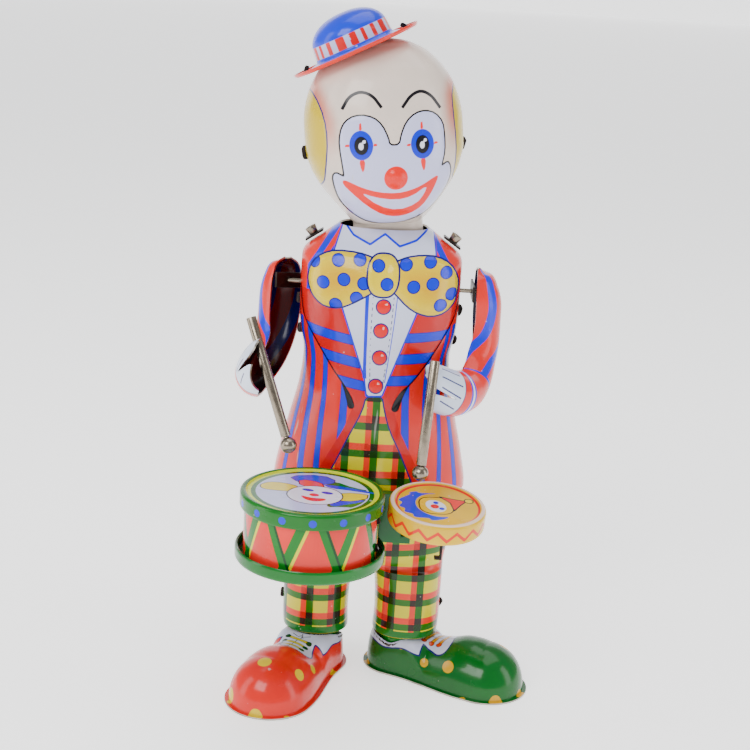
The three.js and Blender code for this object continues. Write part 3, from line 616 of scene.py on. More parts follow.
def plaid(plate, x, z, worn):
    """The plaid's inks wherever worn is positive: green bands, coral bands and coral crossings."""
    green_across = repeating(z, 91.1 - PLAID_PITCH, GREEN_BAND, PLAID_PITCH)
    green_up = repeating(x, -0.1, GREEN_BAND, PLAID_PITCH)
    coral_across = repeating(z, 91.1 + GREEN_BAND - PLAID_PITCH, CORAL_BAND + 0.4, PLAID_PITCH)
    coral_up = repeating(x, -0.1 - CORAL_BAND, CORAL_BAND, PLAID_PITCH)
    ink(plate, "trousers", worn)
    ink(plate, "coral_plaid", np.minimum(np.maximum(coral_up, coral_across), worn))
    ink(plate, "coral_crossing", np.minimum(np.minimum(coral_up, coral_across), worn))
    ink(plate, "green_up", np.minimum(green_up, worn))
    ink(plate, "green_across", np.minimum(green_across, worn))
    ink(plate, "cuff", CUFF_TOP - z)
    ink(plate, "cuff_line", CUFF_LINE - z)


PLAID_LAYERS = [
    ("fill", "trousers", LIME, 0), ("fill", "coral_plaid", colour(240, 92, 62), 0),
    ("over", "coral_crossing", colour(225, 150, 150), 1.0),
    ("over", "green_up", (0.02, 0.22, 0.25), 1.0), ("over", "green_across", (0.03, 0.24, 0.25), 1.0),
    ("fill", "cuff", GREEN, 0), ("edge", "cuff_line", colour(215, 190, 40), 0.5),
]

# %% The front of the coat
x, y, z = points_of(front_plate)
half_here, _, _ = smooth_table(TORSO, np.maximum(z, TORSO[0][0]))
wedge = area(x, z, [(-2.3, 102.3), (-3.4, 96.9), (-6.6, 90.1), (-9.1, 84.2), (-11.1, 79.4), (-18, 64),
    (-30, 50), (30, 50), (18, 64), (11.6, 78.9), (9.1, 84.6), (5.8, 90.9), (3.7, 97.3), (2.6, 102.6)], 1)
plaid(front_plate, x, z, np.maximum(wedge, HEM - z))

LAPEL_EDGE = [(-25.5, 133), (-24.6, 127), (-23.6, 123.5), (-18.5, 116.3), (-13.1, 108.8), (-9.2, 104.5),
    (-6.6, 99.4)]
LAPEL_EDGE_LEFT = [(25.5, 133), (24.4, 127), (23.2, 124.1), (18.6, 116.0), (13.2, 108.2), (9.4, 104.2),
    (6.8, 99.2)]
lapels = np.maximum(
    area(x, z, LAPEL_EDGE + [(-5.2, 97), (-2.2, 101.5), (-3.9, 108), (-11.5, 129.3), (-12, 134)], 0),
    area(x, z, LAPEL_EDGE_LEFT + [(5.4, 97), (2.6, 101.5), (4.3, 107), (11.8, 128.6), (12, 134)], 0))
front_panels = np.maximum(area(x, z, [(-2.3, 103), (-10, 105.2), (-6.4, 98), (-9, 91), (-17, 75),
    (-16, 66), (-11.3, 79.4), (-9.1, 84.4), (-6.6, 90.3), (-3.4, 97.1)], 0),
    area(x, z, [(2.6, 103), (10, 105.2), (6.6, 98), (9, 91), (17, 75), (17, 66), (11.8, 78.9),
    (9.3, 84.7), (6.0, 91.1), (3.7, 97.5)], 0))
ink(front_plate, "lapels", np.maximum(lapels, front_panels))

across = x / half_here
skirt = np.minimum(-np.maximum(lapels, wedge), 124.0 - z)
# Each stripe: its share of the half width at the waist and at the hem, and its own half share.
STRIPES = [(-0.80, -0.74, 0.03), (-0.63, -0.57, 0.03), (-0.37, -0.325, 0.045), (0.40, 0.365, 0.045),
    (0.645, 0.57, 0.028), (0.82, 0.745, 0.022), (-0.93, -0.90, 0.018), (0.93, 0.90, 0.02),]
drop = np.clip((99.0 - z) / 20.0, -0.8, 1.4)
stripe = np.max([(wide - np.abs(across - top - (low - top) * drop)) * half_here for top, low,
    wide in STRIPES], axis=0)
ink(front_plate, "skirt_stripes", np.minimum(np.minimum(stripe, skirt), z - HEM))

bars = []
for low_edge, high_edge in [(119.9, 122.9), (113.0, 116.2), (106.2, 109.3)]:
    tilt_right = 0.14 * (x + 22)
    tilt_left = -0.04 * (x - 20)
    level = z + np.where(x < 0, tilt_right, tilt_left)
    bars.append(np.minimum(level - low_edge, high_edge - level))
ink(front_plate, "lapel_bars", np.minimum(np.max(bars, axis=0), lapels))

shirt = np.maximum(area(x, z, [(-15.3, 144), (-15.1, 147), (-12.6, 156), (15.6, 156), (17, 146.7),
    (16, 140), (-14, 140)], 0), area(x, z, [(-13.2, 136), (-11.5, 129.3), (-3.3, 107.5), (-2.4, 101.9),
    (2.6, 102.2), (4.1, 106.8), (11.8, 128.6), (13.2, 136)], 0))
ink(front_plate, "shirt", shirt)
ink(front_plate, "collar", area(x, z, [(-12.4, 154.4), (-9.4, 151.4), (-4.0, 149.1), (0.5, 152.4),
    (5.3, 149.0), (10.5, 150.8), (14.9, 154.4), (1, 160)], 0))
ink(front_plate, "placket", area(x, z, [
    (-3.3, 136), (-3.2, 126), (-3.0, 114), (-2.4, 102), (2.6, 102.2), (4.4, 116), (5.7, 136)], 0))
wave = 0.45 * np.sin(z * 0.55)
ink(front_plate, "placket_fold", np.minimum(np.minimum(-2.5 + wave - x, x + 4.5 - 0.022 * (134 - z)),
    np.minimum(136 - z, z - 107.5)))
for name, line in (("stitch_left", [(-2.0, 136), (-2.2, 120), (-1.5, 106)]),
    ("stitch_right", [(4.6, 136), (4.0, 120), (2.6, 106)])):
    side, far = strokes(x, z, [line])
    ink(front_plate, name, side)
    ink(front_plate, name + "_far", far + np.where(np.sin(z * 2 * math.pi / 1.9) > 0, 0, 0.9))
side, far = strokes(x, z, [[(5.7, 136), (5.0, 124), (3.2, 107)]])
ink(front_plate, "placket_line", side)
ink(front_plate, "placket_line_far", far)
BUTTONS = [(1.4, 130.6), (1.0, 123.0), (1.1, 114.4), (0.4, 105.3)]
ink(front_plate, "buttons", spots(x, z, BUTTONS, 2.3))
ink(front_plate, "button_light", spots(x, z, [(bx + 0.8, bz + 0.9) for bx, bz in BUTTONS], 0.5))

side, far = strokes(x, z, [LAPEL_EDGE, LAPEL_EDGE_LEFT])
ink(front_plate, "lapel_line", side)
ink(front_plate, "lapel_line_far", far)
ink(front_plate, "vents", np.maximum(area(x, z, [(-10.9, 106.2), (-8.2, 103.6), (-6.0, 99.6),
    (-5.9, 97.6), (-7.9, 97.4), (-8.4, 99.4), (-9.6, 103.4)]),
    area(x, z, [(11.3, 106.2), (8.2, 103.9), (5.9, 99.6), (5.8, 97.4), (7.9, 97.2), (8.5, 99.4),
    (9.8, 103.4)])))

# narrow stripes over the shoulders run up towards the neck
lean = x - np.sign(x) * np.clip(z - 141, 0, 12) * -0.62
shoulder = np.minimum(np.minimum(-shirt - 0.3, z - 132), 26.6 - np.abs(x))
ink(front_plate, "shoulder_stripes", np.minimum(np.max(
    [1.05 - np.abs(np.abs(lean) - at) for at in (18.6, 22.4)], axis=0), shoulder))

BOW = [(-1.5, 144.6), (-3.3, 145.6), (-7.4, 146.6), (-14.6, 146.7), (-19, 145.1), (-21.9, 142.4),
    (-23.4, 138), (-22.8, 134), (-20.1, 130.6), (-16.9, 128.9), (-12.3, 129.1), (-8.7, 130.8),
    (-3.1, 134.2), (-1.5, 135.5)]
BOW_LEFT = [(2, 143.5), (5.3, 145), (8.1, 146.1), (12.6, 146.7), (17.5, 146.3), (21.9, 144.1),
    (24.6, 139.8), (25, 135.9), (24, 131.8), (20.9, 128.6), (16.4, 127.7), (12.2, 128.8), (8.7, 130.9),
    (4.8, 134.8), (2, 137)]
DOTS = [(-21.2, 142.5), (-13.5, 143.7), (-6.8, 144.4), (-17.8, 136.5), (-11.4, 138.1), (-5.2, 137.4),
    (-13.5, 130.2), (-7.2, 132.8), (7.6, 143.8), (15.1, 144.7), (20.3, 141.4), (10.3, 137.1), (16.2, 138),
    (22.3, 134.5), (18.8, 131.3)]
bow = np.maximum(area(x, z, BOW, 1), area(x, z, BOW_LEFT, 1))
knot = area(x, z, [(0.7 + 5.0 * math.copysign(abs(math.cos(a)) ** 0.75, math.cos(a)),
                    140.2 + 6.7 * math.copysign(abs(math.sin(a)) ** 0.85, math.sin(a)))
                   for a in np.linspace(0, 2 * math.pi, 33)[:-1]], 0)
ink(front_plate, "bow", bow)
ink(front_plate, "bow_dots", np.minimum(spots(x, z, DOTS, 1.95), bow))
ink(front_plate, "knot", knot)
ink(front_plate, "knot_dots", np.minimum(spots(x, z, [(-0.9, 143.0), (2.0, 137.6)], 1.95), knot))
# Painted highlight: the bow stays bright yellow within 2.2 mm of its edges and turns darker gold towards its
# middle, so its raised edges look lit.
ink(front_plate, "bow_painted_highlight", np.maximum(knot, bow) - 2.2)
relief = 0.55 * ramp(bow, 0, 1.6) + 0.5 * ramp(knot, 0, 1.4) + 0.25 * ramp(lapels, 0, 0.8)
relief = relief + 0.35 * ramp(spots(x, z, BUTTONS, 2.3), 0, 1.0) * (bow < 0)
raise_relief(front_plate, relief)

COAT_FRONT = printed_tin("printed coat front", CORAL, [("fill", "skirt_stripes", BLUE, 0),
    ("edge", "skirt_stripes", DARK_BLUE, 0.16), ("fill", "shoulder_stripes", BLUE, 0),
    ("fill", "lapels", COAT_RED, 0), ("fill", "lapel_bars", BLUE, 0),
    ("edge", "lapel_bars", DARK_BLUE, 0.22), *PLAID_LAYERS, ("edge", "trousers", DARK_BLUE, 0.5),
    ("fill", "shirt", colour(226, 230, 248), 0), ("fill", "collar", colour(205, 204, 222), 0),
    ("edge", "collar", BLUE, 0.7), ("fill", "placket_fold", BLUE, 0),
    ("fill", "placket", colour(222, 224, 240), 0), ("stroke", "placket_line", BLUE, 0.28),
    ("stroke", "stitch_left", DARK_BLUE, 0.26), ("stroke", "stitch_right", DARK_BLUE, 0.26),
    ("edge", "shirt", BLUE, 0.5), ("fill", "buttons", colour(232, 26, 22), 0),
    ("edge", "buttons", DARK_BLUE, 0.42), ("fill", "button_light", colour(250, 205, 200), 0),
    ("stroke", "lapel_line", BLACK, 0.5), ("fill", "vents", BLACK, 0),
    ("fill", "bow", colour(236, 212, 0), 0), ("glow", "bow_painted_highlight", colour(226, 190, 8), 5.0),
    ("fill", "bow_dots", BLUE, 0), ("edge", "bow_dots", DARK_BLUE, 0.3), ("edge", "bow", DARK_BLUE, 0.55),
    ("fill", "knot", colour(240, 220, 0), 0), ("fill", "knot_dots", BLUE, 0),
    ("edge", "knot_dots", DARK_BLUE, 0.3), ("edge", "knot", DARK_BLUE, 0.6),])
coat_front = into_shell(front_plate, (0, 0, 90), [COAT_FRONT, INNER_PAINTED_SHADE, BARE_EDGE])
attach(coat_front, "toy")
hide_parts("body_front")

# %% [markdown]
# The back of the coat has the same cloth, a centre vent and a half belt with two buttons. Its shell
# is pierced for the winding key, and the hole's brass bush covers the edge.

# %% The back of the coat
back_plate = body_plate("coat_back", False)
x, y, z = points_of(back_plate)
half_here, _, _ = smooth_table(TORSO, np.maximum(z, TORSO[0][0]))
across = x / half_here
plaid(back_plate, x, z, HEM - z)
belt = np.minimum(2.6 - np.abs(z - 106.0), 19.0 - np.abs(x))
even = np.max([(0.035 - np.abs(np.abs(across) - at)) * half_here for at in (0.18, 0.42, 0.64, 0.84)], axis=0)
ink(back_plate, "back_stripes", np.minimum(np.minimum(even, z - HEM), 148.0 - z))
ink(back_plate, "belt", belt)
ink(back_plate, "belt_buttons", spots(x, z, [(-14, 106), (14, 106)], 1.9))
ink(back_plate, "back_collar", area(x, z, [(-16, 147.5), (-9, 146.2), (0, 145.6), (9, 146.2), (16, 147.5),
    (16, 158), (-16, 158)], 1))
side, far = strokes(x, z, [[(0, 103), (0, 67)]], 0)
ink(back_plate, "back_vent", side)
ink(back_plate, "back_vent_far", far)
COAT_BACK = printed_tin("printed coat back", CORAL, [("fill", "back_stripes", BLUE, 0),
    ("edge", "back_stripes", DARK_BLUE, 0.16), *PLAID_LAYERS, ("edge", "trousers", DARK_BLUE, 0.5),
    ("stroke", "back_vent", BLACK, 0.5), ("fill", "belt", COAT_RED, 0), ("edge", "belt", DARK_BLUE, 0.45),
    ("fill", "belt_buttons", YELLOW, 0), ("edge", "belt_buttons", DARK_BLUE, 0.4),
    ("fill", "back_collar", colour(214, 214, 232), 0), ("edge", "back_collar", BLUE, 0.6),])
raise_relief(back_plate, 0.3 * ramp(belt, 0, 0.7))
select_only(back_plate)
bpy.ops.object.mode_set(mode="EDIT")
bpy.ops.mesh.select_all(action="DESELECT")
bpy.ops.object.mode_set(mode="OBJECT")
KEY_HEIGHT = 92.0
for face in back_plate.data.polygons:
    middle = (np.array(face.center) - MIDDLE) / MM
    face.select = math.hypot(middle[0], middle[2] - KEY_HEIGHT) < 3.1
bpy.ops.object.mode_set(mode="EDIT")
bpy.ops.mesh.select_mode(type="FACE")
bpy.ops.mesh.delete(type="FACE")
bpy.ops.object.mode_set(mode="OBJECT")
coat_back = into_shell(back_plate, (0, 0, 90), [COAT_BACK, INNER_PAINTED_SHADE, BARE_EDGE])
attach(coat_back, "toy")
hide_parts("body_back")

# %% [markdown]
# ## The head
# The head is two pressings as well, a face and a back, crimped together behind the cheeks. The face
# is drawn flat in the head's own frame, and the head is then leaned and turned on its pivot.

# %% The head's die
HEAD = [
    (-1.0, 11.2, 9.2, 9.2), (5.0, 11.2, 9.2, 9.2), (6.6, 12.2, 13.5, 10.4), (9.3, 14.4, 18.5, 13.4),
    (13.3, 17.6, 21.5, 16.0), (18.3, 21.2, 23.0, 19.5), (23.3, 23.6, 23.8, 22.0), (29.3, 25.0, 24.2, 24.0),
    (36.3, 25.0, 23.8, 24.5), (44.3, 23.8, 22.5, 23.5), (51.3, 20.7, 20.0, 20.5), (56.3, 16.5, 16.5, 16.5),
    (59.8, 11.5, 11.5, 11.5), (61.7, 6.0, 6.0, 6.0), (62.3, 0.05, 0.05, 0.05),
]
HEAD_PIVOT = np.array([1.6, 0.0, 150.0])
HEAD_LEAN, HEAD_TURN = -6.3, 6.5
head_turn = np.array(Matrix.Rotation(HEAD_LEAN * DEGREE, 3, "Y") @ Matrix.Rotation(HEAD_TURN * DEGREE, 3,
    "Z"))


def head_die(front):
    def die(u, v):
        z = even_steps(HEAD, v)
        half, fore, aft = smooth_table(HEAD, z)
        angle = (-1 if front else 1) * math.pi * (1 - u)
        x, y = superellipse(angle, half, fore, aft)
        return np.stack([x, y, z], axis=1) @ head_turn.T + HEAD_PIVOT
    return die


def in_head(plate):
    """The plate's points in the head's own frame."""
    return ((points_of(plate).T - HEAD_PIVOT) @ head_turn).T


face_plate = sheet_of_tin("head_face", 150, 165, head_die(True))
x, y, z = in_head(face_plate)
LEFT_HAIR = [(-21.5, 46.5), (-19.4, 40), (-18.9, 33.4), (-19.7, 25.7), (-20.4, 19.0), (-23, 17.5),
    (-31, 18), (-31, 47), (-24, 50)]
RIGHT_HAIR = [(20.4, 46), (20.2, 40), (20.9, 30.8), (20.5, 22.9), (19.4, 18.6), (22, 17), (31, 18),
    (31, 46), (24, 50)]
hair = np.maximum(area(x, z, LEFT_HAIR, 1), area(x, z, RIGHT_HAIR, 1))
ink(face_plate, "hair", hair)
blush = (1 - ramp(-hair, 0.0, 5.0)) * ramp(z, 24, 40) * (1 - 0.6 * ramp(z, 52, 60))
ink(face_plate, "temple", blush)
PATCH = [(-0.6, 31.4), (-0.9, 33.6), (-2.6, 37.6), (-5.1, 39.9), (-8.8, 40.8), (-12.3, 40), (-14.6, 37.6),
    (-15.6, 33.7), (-15.5, 29.8), (-15, 25.7), (-14.7, 22.8), (-14.8, 22.4), (-17.0, 23.7), (-18.1, 22.4),
    (-17.6, 19), (-16.3, 15), (-14.2, 12), (-11.2, 9.2), (-7.6, 7.0), (-2.6, 5.9), (2.6, 6.0), (8.6, 8.0),
    (13.6, 11.6), (17.1, 15.8), (18.9, 20.3), (18.7, 23.3), (17.6, 25.0), (15.6, 23.9), (15.6, 24.2),
    (16.7, 28.1), (16.8, 33.1), (16.4, 37), (14.1, 39.9), (10.9, 41), (7.6, 40.4), (4.7, 38.1),
    (2.9, 34.3), (2.3, 31.4)]
patch = area(x, z, PATCH, 1)
ink(face_plate, "patch", patch)
EYES = [(-9.1, 31.7, 3.5, 4.4), (9.3, 31.1, 3.6, 4.4)]
ink(face_plate, "eyes", np.max([oval(x, z, *eye) for eye in EYES], axis=0))
ink(face_plate, "pupils", np.max([oval(x, z, ex, ez - 0.1, 2.1, 2.75) for ex, ez, _, _ in EYES], axis=0))
ink(face_plate, "eye_light", np.max(
    [np.maximum(oval(x, z, ex - 0.1, ez - 0.3, 0.75, 1.1), oval(x, z, ex + 0.9, ez + 1.1, 0.5, 0.55))
     for ex, ez, _, _ in EYES], axis=0))
marks = []
for ex, ez, wide, tall in EYES:
    marks.append(area(x, z, [(ex - 0.45, ez + tall), (ex + 0.45, ez + tall), (ex + 0.3, ez + tall + 2.3),
        (ex - 0.3, ez + tall + 2.3)], 0))
    marks.append(area(x, z, [(ex - 1.0, ez - tall + 0.2), (ex + 1.0, ez - tall + 0.2),
        (ex + 0.5, ez - tall - 3.6), (ex - 0.2, ez - tall - 3.6)], 1))
    for way in (-1, 1):
        marks.append(area(x, z, [(ex + way * wide, ez - 0.45), (ex + way * (wide + 1.3), ez - 0.3),
                                 (ex + way * (wide + 1.3), ez + 0.3), (ex + way * wide, ez + 0.45)], 0))
ink(face_plate, "eye_marks", np.max(marks, axis=0))
NOSE = (0.8, 21.4, 3.6)
nose = oval(x, z, NOSE[0], NOSE[1], NOSE[2], NOSE[2])
ink(face_plate, "nose", nose)
MOUTH = [(-14.9, 21.4), (-13.2, 20.9), (-9.5, 18.9), (-4.5, 17.3), (0.7, 16.7), (5, 17.3), (9, 18.7),
    (12.4, 20.6), (14.2, 21.2), (13.6, 19.2), (11.6, 15.4), (8.8, 11.8), (4.8, 9.7), (0.8, 9.1),
    (-3.4, 10.0), (-8.0, 13.0), (-12.2, 17.0), (-15.0, 20.0)]
SMILE = [(-10.2, 17.6), (-6, 15.8), (0.6, 14.6), (5.6, 15.4), (10.4, 18.4), (9.6, 16.0), (7.0, 12.9),
    (1.2, 11.3), (-4.6, 13.0)]
ink(face_plate, "mouth", area(x, z, MOUTH, 1))
ink(face_plate, "smile", area(x, z, SMILE, 1))
BROWS = [[(-13.7, 43.2), (-11.8, 46.2), (-8.3, 47.6), (-4.9, 46.2), (-2.9, 43.2)],
         [(4.3, 42.8), (6.6, 45.6), (9.9, 46.9), (13.1, 45.2), (15.3, 41.9)]]
side, far = strokes(x, z, BROWS)
ink(face_plate, "brows", side)
ink(face_plate, "brows_far", far)
raise_relief(face_plate, 1.1 * ramp(nose, 0, 2.6) + 0.3 * ramp(patch, 0, 1.2))
HEAD_PRINT = printed_tin("printed face", SKIN, [("glow", "temple", colour(205, 108, 66), 1.25),
    ("fill", "hair", colour(206, 186, 0), 0), ("edge", "hair", DARK_BLUE, 0.4),
    ("fill", "patch", colour(214, 215, 242), 0), ("edge", "patch", BLACK, 0.5),
    ("fill", "eye_marks", colour(240, 66, 60), 0), ("fill", "eyes", colour(18, 66, 215), 0),
    ("fill", "pupils", BLACK, 0), ("fill", "eye_light", WHITE, 0),
    ("fill", "nose", colour(242, 58, 44), 0), ("fill", "mouth", colour(242, 58, 44), 0),
    ("fill", "smile", colour(214, 215, 242), 0), ("stroke", "brows", BLACK, 0.95),], fade=0.05)
face = into_shell(face_plate, (1.6, 0, 180), [HEAD_PRINT, INNER_PAINTED_SHADE, BARE_EDGE])
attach(face, "head")
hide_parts("head_front")

back_of_head = sheet_of_tin("head_nape", 120, 130, head_die(False))
x, y, z = in_head(back_of_head)
waves = np.clip(1 - (np.abs(x) / 23) ** 4, 0, 1)
nape_line = 18.4 + 1.6 * np.cos(x * 0.9) * waves
ink(back_of_head, "hair", np.minimum(46.6 + 1.8 * np.cos(x * 0.7) * waves - z, z - nape_line))
ink(back_of_head, "temple", ramp(z, 36, 46) * (1 - ramp(z, 46, 54)))
curls = [[(cx - 3, cz + 1), (cx - 1, cz - 1.6), (cx + 2, cz - 0.6), (cx + 1.6, cz + 1.4)]
         for cz in (24, 31, 38) for cx in np.arange(-20, 21, 8) + (4 if cz == 31 else 0)]
side, far = strokes(x, z, curls)
ink(back_of_head, "curls", side)
ink(back_of_head, "curls_far", far)
NAPE_PRINT = printed_tin("printed nape", SKIN, [
    ("glow", "temple", colour(205, 108, 66), 1.6), ("fill", "hair", colour(206, 186, 0), 0),
    ("edge", "hair", DARK_BLUE, 0.4), ("stroke", "curls", DARK_BLUE, 0.4),
], fade=0.05)
nape = into_shell(back_of_head, (1.6, 0, 180), [NAPE_PRINT, INNER_PAINTED_SHADE, BARE_EDGE])
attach(nape, "head")
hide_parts("head_back")

# %% [markdown]
# ## Round pressings
# The hat, the drum and the small drum are all round, so one die serves them: a profile turned about
# an axis. The profile's corners are kept, and its length is shared out in even steps.

# %% The round die
def round_plate(name, profile, columns, rows, centre, tilt):
    """A turned sheet from a profile of (radius, height), and each point's radius, angle and height."""
    line = np.asarray(profile, float)
    along = np.concatenate([[0], np.cumsum(np.hypot(*np.diff(line, axis=0).T))])
    local = {}

    def die(u, v):
        radius = np.interp(v, along / along[-1], line[:, 0])
        height = np.interp(v, along / along[-1], line[:, 1])
        angle = u * 2 * math.pi - math.pi / 2
        local["polar"] = (radius, angle, height)
        spun = np.stack([radius * np.cos(angle), radius * np.sin(angle), height], axis=1)
        return spun @ np.array(tilt).T + np.array(centre)
    return sheet_of_tin(name, columns, rows, die), local["polar"]


def bend(cx, cy, radius, start, stop, steps=8):
    """Points round a quarter bend of a profile, angles in degrees."""
    turn = np.linspace(start, stop, steps) * DEGREE
    return [(cx + radius * math.cos(a), cy + radius * math.sin(a)) for a in turn]


# %% The hat
HAT_CENTRE = (-11.5, 0.0, 206.6)
HAT_TILT = Matrix.Rotation(-26.9 * DEGREE, 3, "Y")
BRIM_RADIUS, CROWN_RADIUS, CROWN_HEIGHT = 20.6, 12.5, 13.6
crown = [(CROWN_RADIUS * math.sin(a) ** 0.9, 5.4 + (CROWN_HEIGHT - 5.4) * math.cos(a) ** 0.92)
         for a in np.linspace(0.0, math.pi / 2, 26)]
crown[0] = (0.0, CROWN_HEIGHT)
hat_profile = crown + [(12.7, 3.6), *bend(13.9, 3.2, 1.2, 180, 262, 6), (16.5, 1.35),
    (BRIM_RADIUS - 1.2, 1.3), *bend(BRIM_RADIUS - 0.7, 1.8, 0.5, -80, 20, 6)]
hat_plate, (radius, angle, height) = round_plate("bowler_hat", hat_profile, 200, 78, HAT_CENTRE, HAT_TILT)
around = (angle + math.pi / 2) * CROWN_RADIUS
BARS = (2.4, 1.7, 1.3, 2.2, 1.6, 2.0, 2.9, 1.6)
edges = np.cumsum([0, *BARS * 5])
edges = edges / edges[-1] * 2 * math.pi * CROWN_RADIUS
bar = np.max([np.minimum(around - a, b - around) for a, b in zip(edges[0:-1:2], edges[1::2])], axis=0)
band = np.minimum(np.minimum(height - 3.1, 7.0 - height), 13.6 - radius)
ink(hat_plate, "hat_band", band)
ink(hat_plate, "band_bars", np.minimum(bar, band))
ink(hat_plate, "brim", np.minimum(radius - 13.4, 4.0 - height))
ink(hat_plate, "brim_edge", radius - (BRIM_RADIUS - 0.45))
HAT_PRINT = printed_tin("printed hat", colour(20, 84, 232), [
    ("fill", "brim", colour(118, 142, 235), 0), ("fill", "brim_edge", colour(238, 84, 50), 0),
    ("fill", "hat_band", colour(214, 216, 240), 0), ("fill", "band_bars", colour(232, 40, 42), 0),
])
HAT_UNDER = printed_tin("hat underside", colour(232, 74, 46), [])
hat = into_shell(hat_plate, (-11.5, 0, 196), [HAT_PRINT, HAT_UNDER, HAT_UNDER])
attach(hat, "head")
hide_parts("hat")

# %% [markdown]
# ## The arms
# An arm is a half tube, open on the side that faces the body, with sleeve, cuff and glove pressed in
# one sheet. The art is drawn on the flat sheet: one direction runs round the half tube, the other
# along it. The glove ends in two flaps with a notch between, which hold the drumstick.

# %% The arm's die
ARM_PIVOT = (31.0, 0.0, 133.5)
ARM = [(0.3, 1.0, 7.6, 1.6, 1.2, 0), (0.0, 1.0, 6.2, 5.2, 4.4, 0), (0.0, 1.0, 2.0, 7.9, 7.2, 0),
    (0.2, 1.2, -6.0, 8.8, 8.8, 0), (0.3, 0.6, -15.0, 8.6, 8.8, 3), (-0.2, -2.6, -22.0, 8.0, 8.4, 10),
    (-1.0, -8.4, -27.2, 7.4, 7.8, 20), (-3.0, -14.5, -29.6, 7.2, 7.4, 32),
    (-6.0, -20.2, -29.2, 7.5, 7.2, 42), (-10.0, -25.4, -27.0, 7.4, 6.5, 46),
    (-14.5, -30.4, -24.2, 7.0, 5.2, 46), (-18.3, -34.0, -21.8, 5.4, 3.4, 46),]
SHEET_WIDTH = 25.0
arm_table = np.array(ARM)
arm_length = np.concatenate([[0], np.cumsum(np.linalg.norm(np.diff(arm_table[:, :3], axis=0), axis=1))])
ARM_END = arm_length[-1]
RAISED = Matrix.Rotation(-10 * DEGREE, 3, "X") @ Matrix.Rotation(-32 * DEGREE, 3, "Z")


def flap_length(u):
    """How far along the sheet reaches, for each share across it: two flaps and a notch."""
    upper = 1.0 - 0.10 * np.abs((u - 0.26) / 0.30) ** 3
    lower = 0.97 - 0.15 * np.abs((u - 0.64) / 0.36)
    cleft = 0.10 * np.exp(-((u - 0.56) / 0.03) ** 2)
    return np.where(u < 0.56, upper, lower) - cleft


def arm_plate(name, side):
    drawn = {}

    def die(u, v):
        along = v * ARM_END * (1 - (1 - flap_length(u)) * ramp(v, 0.75, 1.0))
        drawn["sheet"] = (u, along)
        columns = [smooth_column(arm_length, arm_table[:, i], along) for i in range(6)]
        ahead = [smooth_column(arm_length, arm_table[:, i], np.minimum(along + 0.5,
            ARM_END)) for i in range(3)]
        behind = [smooth_column(arm_length, arm_table[:, i], np.maximum(along - 0.5, 0)) for i in range(3)]
        way = np.stack(ahead, 1) - np.stack(behind, 1)
        way /= np.linalg.norm(way, axis=1)[:, None]
        turn = columns[5] * DEGREE
        out = np.stack([np.cos(turn), -np.sin(turn), np.zeros_like(turn)], axis=1)
        out -= way * np.sum(out * way, axis=1)[:, None]
        out /= np.linalg.norm(out, axis=1)[:, None]
        over = np.cross(way, out)
        theta = math.pi * u
        place = (np.stack(columns[:3], 1) + over * (columns[3] * np.cos(theta))[:, None]
                 + out * (columns[4] * np.sin(theta))[:, None])
        if side < 0:
            place = (place * (-1, 1, 1)) @ np.array(RAISED).T
        return place + (side * ARM_PIVOT[0], ARM_PIVOT[1], ARM_PIVOT[2])
    return sheet_of_tin(name, 56, 150, die), drawn["sheet"]


CUFF, PIPING, GLOVE = 40.5, 50.5, 55.0
FINGERS = [[(0.20, 57.5), (0.17, 64.5)], [(0.36, 57.0), (0.32, 65.0)], [(0.52, 57.0), (0.47, 64.5)],
    [(0.70, 57.0), (0.66, 63.0)]]
SLEEVE_LAYERS = [("fill", "sleeve_stripes", BLUE, 0), ("fill", "cuff", CORAL, 0),
    ("edge", "cuff", BLUE, 1.0), ("edge", "piping", BLUE, 2.6), ("edge", "piping", WHITE, 1.0),
    ("fill", "glove", colour(228, 236, 250), 0), ("edge", "glove", DARK_BLUE, 0.35),
    ("stroke", "fingers", DARK_BLUE, 0.5),]
SLEEVE_PRINT = printed_tin("printed sleeve", CORAL, SLEEVE_LAYERS)
# The inside of the open half tube has painted reflection and painted shade. Its dark red with dark blue
# stripes is a painted reflection of the striped coat, and it runs to near black past the forearm as painted
# shade deep in the arm.
SLEEVE_INSIDE_PAINTED_REFLECTION = printed_tin("sleeve inside painted reflection and shade", colour(96, 8, 16), [
    ("fill", "sleeve_stripes", colour(14, 14, 84), 0), ("glow", "forearm_painted_shade", colour(20, 14, 16), 8.0)])
for name, side in (("left", 1), ("right", -1)):
    plate, (u, s) = arm_plate(f"{name}_sleeve_and_glove", side)
    drift = 0.30 * ramp(s, 10, 42)
    across = (u + drift) * SHEET_WIDTH
    lanes = np.max([wide - np.abs(across - at) for at, wide in ((5.6, 1.7), (15.2, 1.5), (24.6, 1.9),
        (32.0, 1.8))], axis=0)
    slant = s + 3.0 * np.sin(math.pi * u)
    ink(plate, "sleeve_stripes", np.minimum(lanes, CUFF + 3 - slant))
    ink(plate, "cuff", slant - CUFF - 2.4)
    ink(plate, "piping", s - PIPING)
    ink(plate, "glove", s - GLOVE)
    # Painted shade: the distance past the forearm, which darkens the inside of the sleeve towards the glove.
    ink(plate, "forearm_painted_shade", s - 26.0)
    lines = [[(px * SHEET_WIDTH, ps) for px, ps in line] for line in FINGERS]
    side_of, far = strokes(u * SHEET_WIDTH, s, lines, 0)
    ink(plate, "fingers", side_of)
    ink(plate, "fingers_far", far)
    shell = into_shell(plate, (side * 30, -4, 122), [SLEEVE_PRINT, SLEEVE_INSIDE_PAINTED_REFLECTION, BARE_EDGE], weld=0.005)
    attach(shell, f"{name}_arm")
    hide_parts(f"{name}_arm")

# %% [markdown]
# ## The shoes
# Each shoe is a deep pressing with a flat flange that stands on the ground. Its die works outward from
# a line down the middle of the foot: the heel is a steep-walled cup for the trouser leg, and the toe
# is a round dome.

